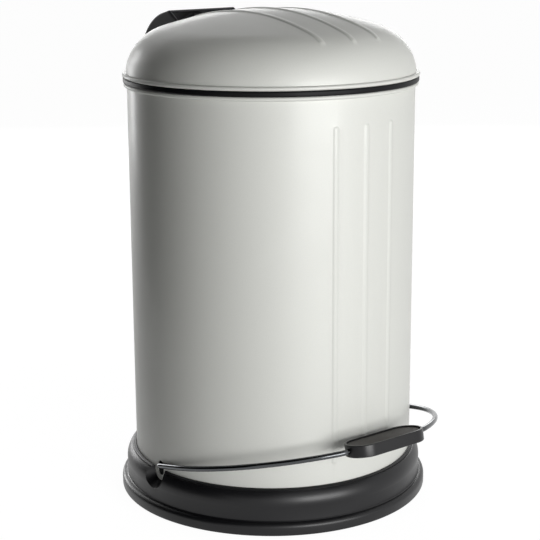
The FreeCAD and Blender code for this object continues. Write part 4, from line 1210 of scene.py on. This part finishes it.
@dataclass
class Studio:
    """Floor, soft lights, dark flags and the camera at the photo's angle."""

    camera_azimuth: float = 38.3
    camera_distance: float = 1.3649
    camera_height: float = 0.5462
    camera_pitch: float = 13.78
    camera_yaw: float = 0.082
    camera_roll: float = -0.316
    lens: float = 96.68
    floor_half: float = 8.0
    floor_drop: float = 0.0002
    floor_share: float = 0.8
    floor_glow: float = 1.2
    aim_height: float = 0.23
    world_strength: float = 0.17
    flags: tuple[Flag, ...] = (
        Flag("left_flag", -78.0, 0.0, 0.75, 1.5, 1.1, 0.55),
        Flag("upper_flag", -40.0, 48.0, 1.5, 2.4, 1.8, 0.23),
        Flag("top_flag", 0.0, 90.0, 1.3, 1.5, 1.5, 0.23),
    )
    lamps: tuple[Lamp, ...] = (
        Lamp("key_light", 35.0, 4.5, 2.2, 1.5, 0.85, 42.0),
        Lamp("rim_light", -140.0, 5.0, 2.2, 0.5, 1.1, 13.0),
        Lamp("back_light", -160.0, 38.0, 2.4, 1.4, 1.0, 5.0),
        Lamp("strip_light", 180.0, 11.0, 2.4, 1.6, 0.55, 13.0),
    )

    def direction(self, azimuth: float, elevation: float) -> Vector:
        """Unit vector from the bin, at an angle to the right of the camera and above the floor."""
        a, e = math.radians(self.camera_azimuth - azimuth), math.radians(elevation)
        return Vector((-math.sin(a) * math.cos(e), -math.cos(a) * math.cos(e), math.sin(e)))

    def add_camera(self) -> None:
        """Put the camera where the photo was taken."""
        data = bpy.data.cameras.new("photo_camera")
        data.lens = self.lens
        camera = put_in_scene(data.name, data)
        flat = self.direction(0, 0) * self.camera_distance
        camera.location = (flat.x, flat.y, self.camera_height)
        heading = math.radians(self.camera_yaw - self.camera_azimuth)
        aim = Euler((math.radians(90 - self.camera_pitch), 0, heading))
        roll = Matrix.Rotation(math.radians(self.camera_roll), 3, "Z")
        camera.rotation_euler = (aim.to_matrix() @ roll).to_euler()
        bpy.context.scene.camera = camera

    def seen_directly(self, add: Adder) -> Node:
        """One for rays from the camera and for what shows in gloss or through glass, else zero.

        Args:
            add: what adds a node to the tree of the floor or the world.

        Returns:
            The node that gives the factor.
        """
        path = add("ShaderNodeLightPath").outputs
        seen = path["Is Camera Ray"]
        for ray in ("Is Glossy Ray", "Is Transmission Ray"):
            seen = add("ShaderNodeMath", {0: seen, 1: path[ray]}, operation="MAXIMUM")
        return seen

    def add_panel(self, name: str, made: Material, middle: Vector, along: Vector, up: Vector) -> Object:
        """Add one flat rectangle of the stage.

        Args:
            name: name of the panel.
            made: its material.
            middle: its middle.
            along: from the middle to one edge.
            up: from the middle to the next edge.

        Returns:
            The panel.
        """
        data = bpy.data.meshes.new(name)
        data.from_pydata([middle + along * a + up * b for a, b in SQUARE], [], [range(len(SQUARE))])
        data.materials.append(made)
        panel = put_in_scene(name, data)
        return panel

    def add_floor(self) -> None:
        """Add a pale floor that looks white to the camera and still takes a faint shadow."""
        made = bpy.data.materials.new("white_floor")
        add = bare_tree(made)
        share = add("ShaderNodeMath", {0: self.seen_directly(add), 1: self.floor_share}, operation="MULTIPLY")
        matt = add("ShaderNodeBsdfDiffuse", {"Color": linear("CCCCCC")})
        glow = add("ShaderNodeEmission", {"Color": linear("FFFFFF"), "Strength": self.floor_glow})
        mixed = add("ShaderNodeMixShader", {0: share, 1: matt, 2: glow})
        add("ShaderNodeOutputMaterial", {"Surface": mixed})
        self.add_panel("floor", made, Vector((0, 0, -self.floor_drop)), Vector((self.floor_half, 0, 0)),
                       Vector((0, self.floor_half, 0)))

    def add_flags(self) -> None:
        """Add the dark cards, out of the camera's sight, that give the paint its shaded side."""
        made = bpy.data.materials.new("black_felt_card")
        add = bare_tree(made)
        matt = add("ShaderNodeBsdfDiffuse", {"Color": linear("202020")})
        add("ShaderNodeOutputMaterial", {"Surface": matt})
        for flag in self.flags:
            away = self.direction(flag.azimuth, flag.elevation)
            along = Vector((-away.y, away.x, 0)).normalized() * flag.width / 2
            up = away.cross(along).normalized() * flag.height / 2
            middle = away * flag.distance + Vector((0, 0, flag.aim_height))
            self.add_panel(flag.name, made, middle, along, up).visible_camera = False

    def add_lamps(self) -> None:
        """Add the soft lights, out of the camera's sight."""
        for lamp in self.lamps:
            data = bpy.data.lights.new(lamp.name, "AREA")
            data.shape = "RECTANGLE"
            data.size = lamp.width
            data.size_y = lamp.height
            data.energy = lamp.power
            light = put_in_scene(lamp.name, data)
            away = self.direction(lamp.azimuth, lamp.elevation)
            light.location = away * lamp.distance + Vector((0, 0, self.aim_height))
            light.rotation_euler = away.to_track_quat("Z", "Y").to_euler()
            light.visible_camera = False

    def add_world(self) -> None:
        """Add surroundings that are white to the camera and in reflections, and dimmer as light."""
        world = bpy.data.worlds.new("studio_white")
        bpy.context.scene.world = world
        add = bare_tree(world)
        strength = add("ShaderNodeMapRange", {
            "Value": self.seen_directly(add), "To Min": self.world_strength, "To Max": 1.0})
        shade = add("ShaderNodeBackground", {"Color": linear("FFFFFF"), "Strength": strength})
        add("ShaderNodeOutputWorld", {"Surface": shade})

    def build(self) -> None:
        """Set up the whole studio."""
        bpy.context.scene.view_settings.view_transform = "Standard"
        self.add_camera()
        self.add_floor()
        self.add_flags()
        self.add_world()
        self.add_lamps()


def corners(bounds: tuple[Vector, Vector]) -> list[list[float]]:
    """Two corners as plain lists of numbers."""
    return [[float(c) for c in corner] for corner in bounds]


def main() -> None:
    """Build every piece, then the studio."""
    logging.basicConfig(level=logging.INFO, format="%(name)s: %(message)s")
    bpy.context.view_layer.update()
    body = BodyShell()
    body.build()
    lid = LidShell()
    lid.build()
    RimRing().build(body)
    FootRing().build(body)
    PedalLever().build(body)
    Mechanism().build(lid)
    Studio().build()


if __name__ == "__main__":
    main()
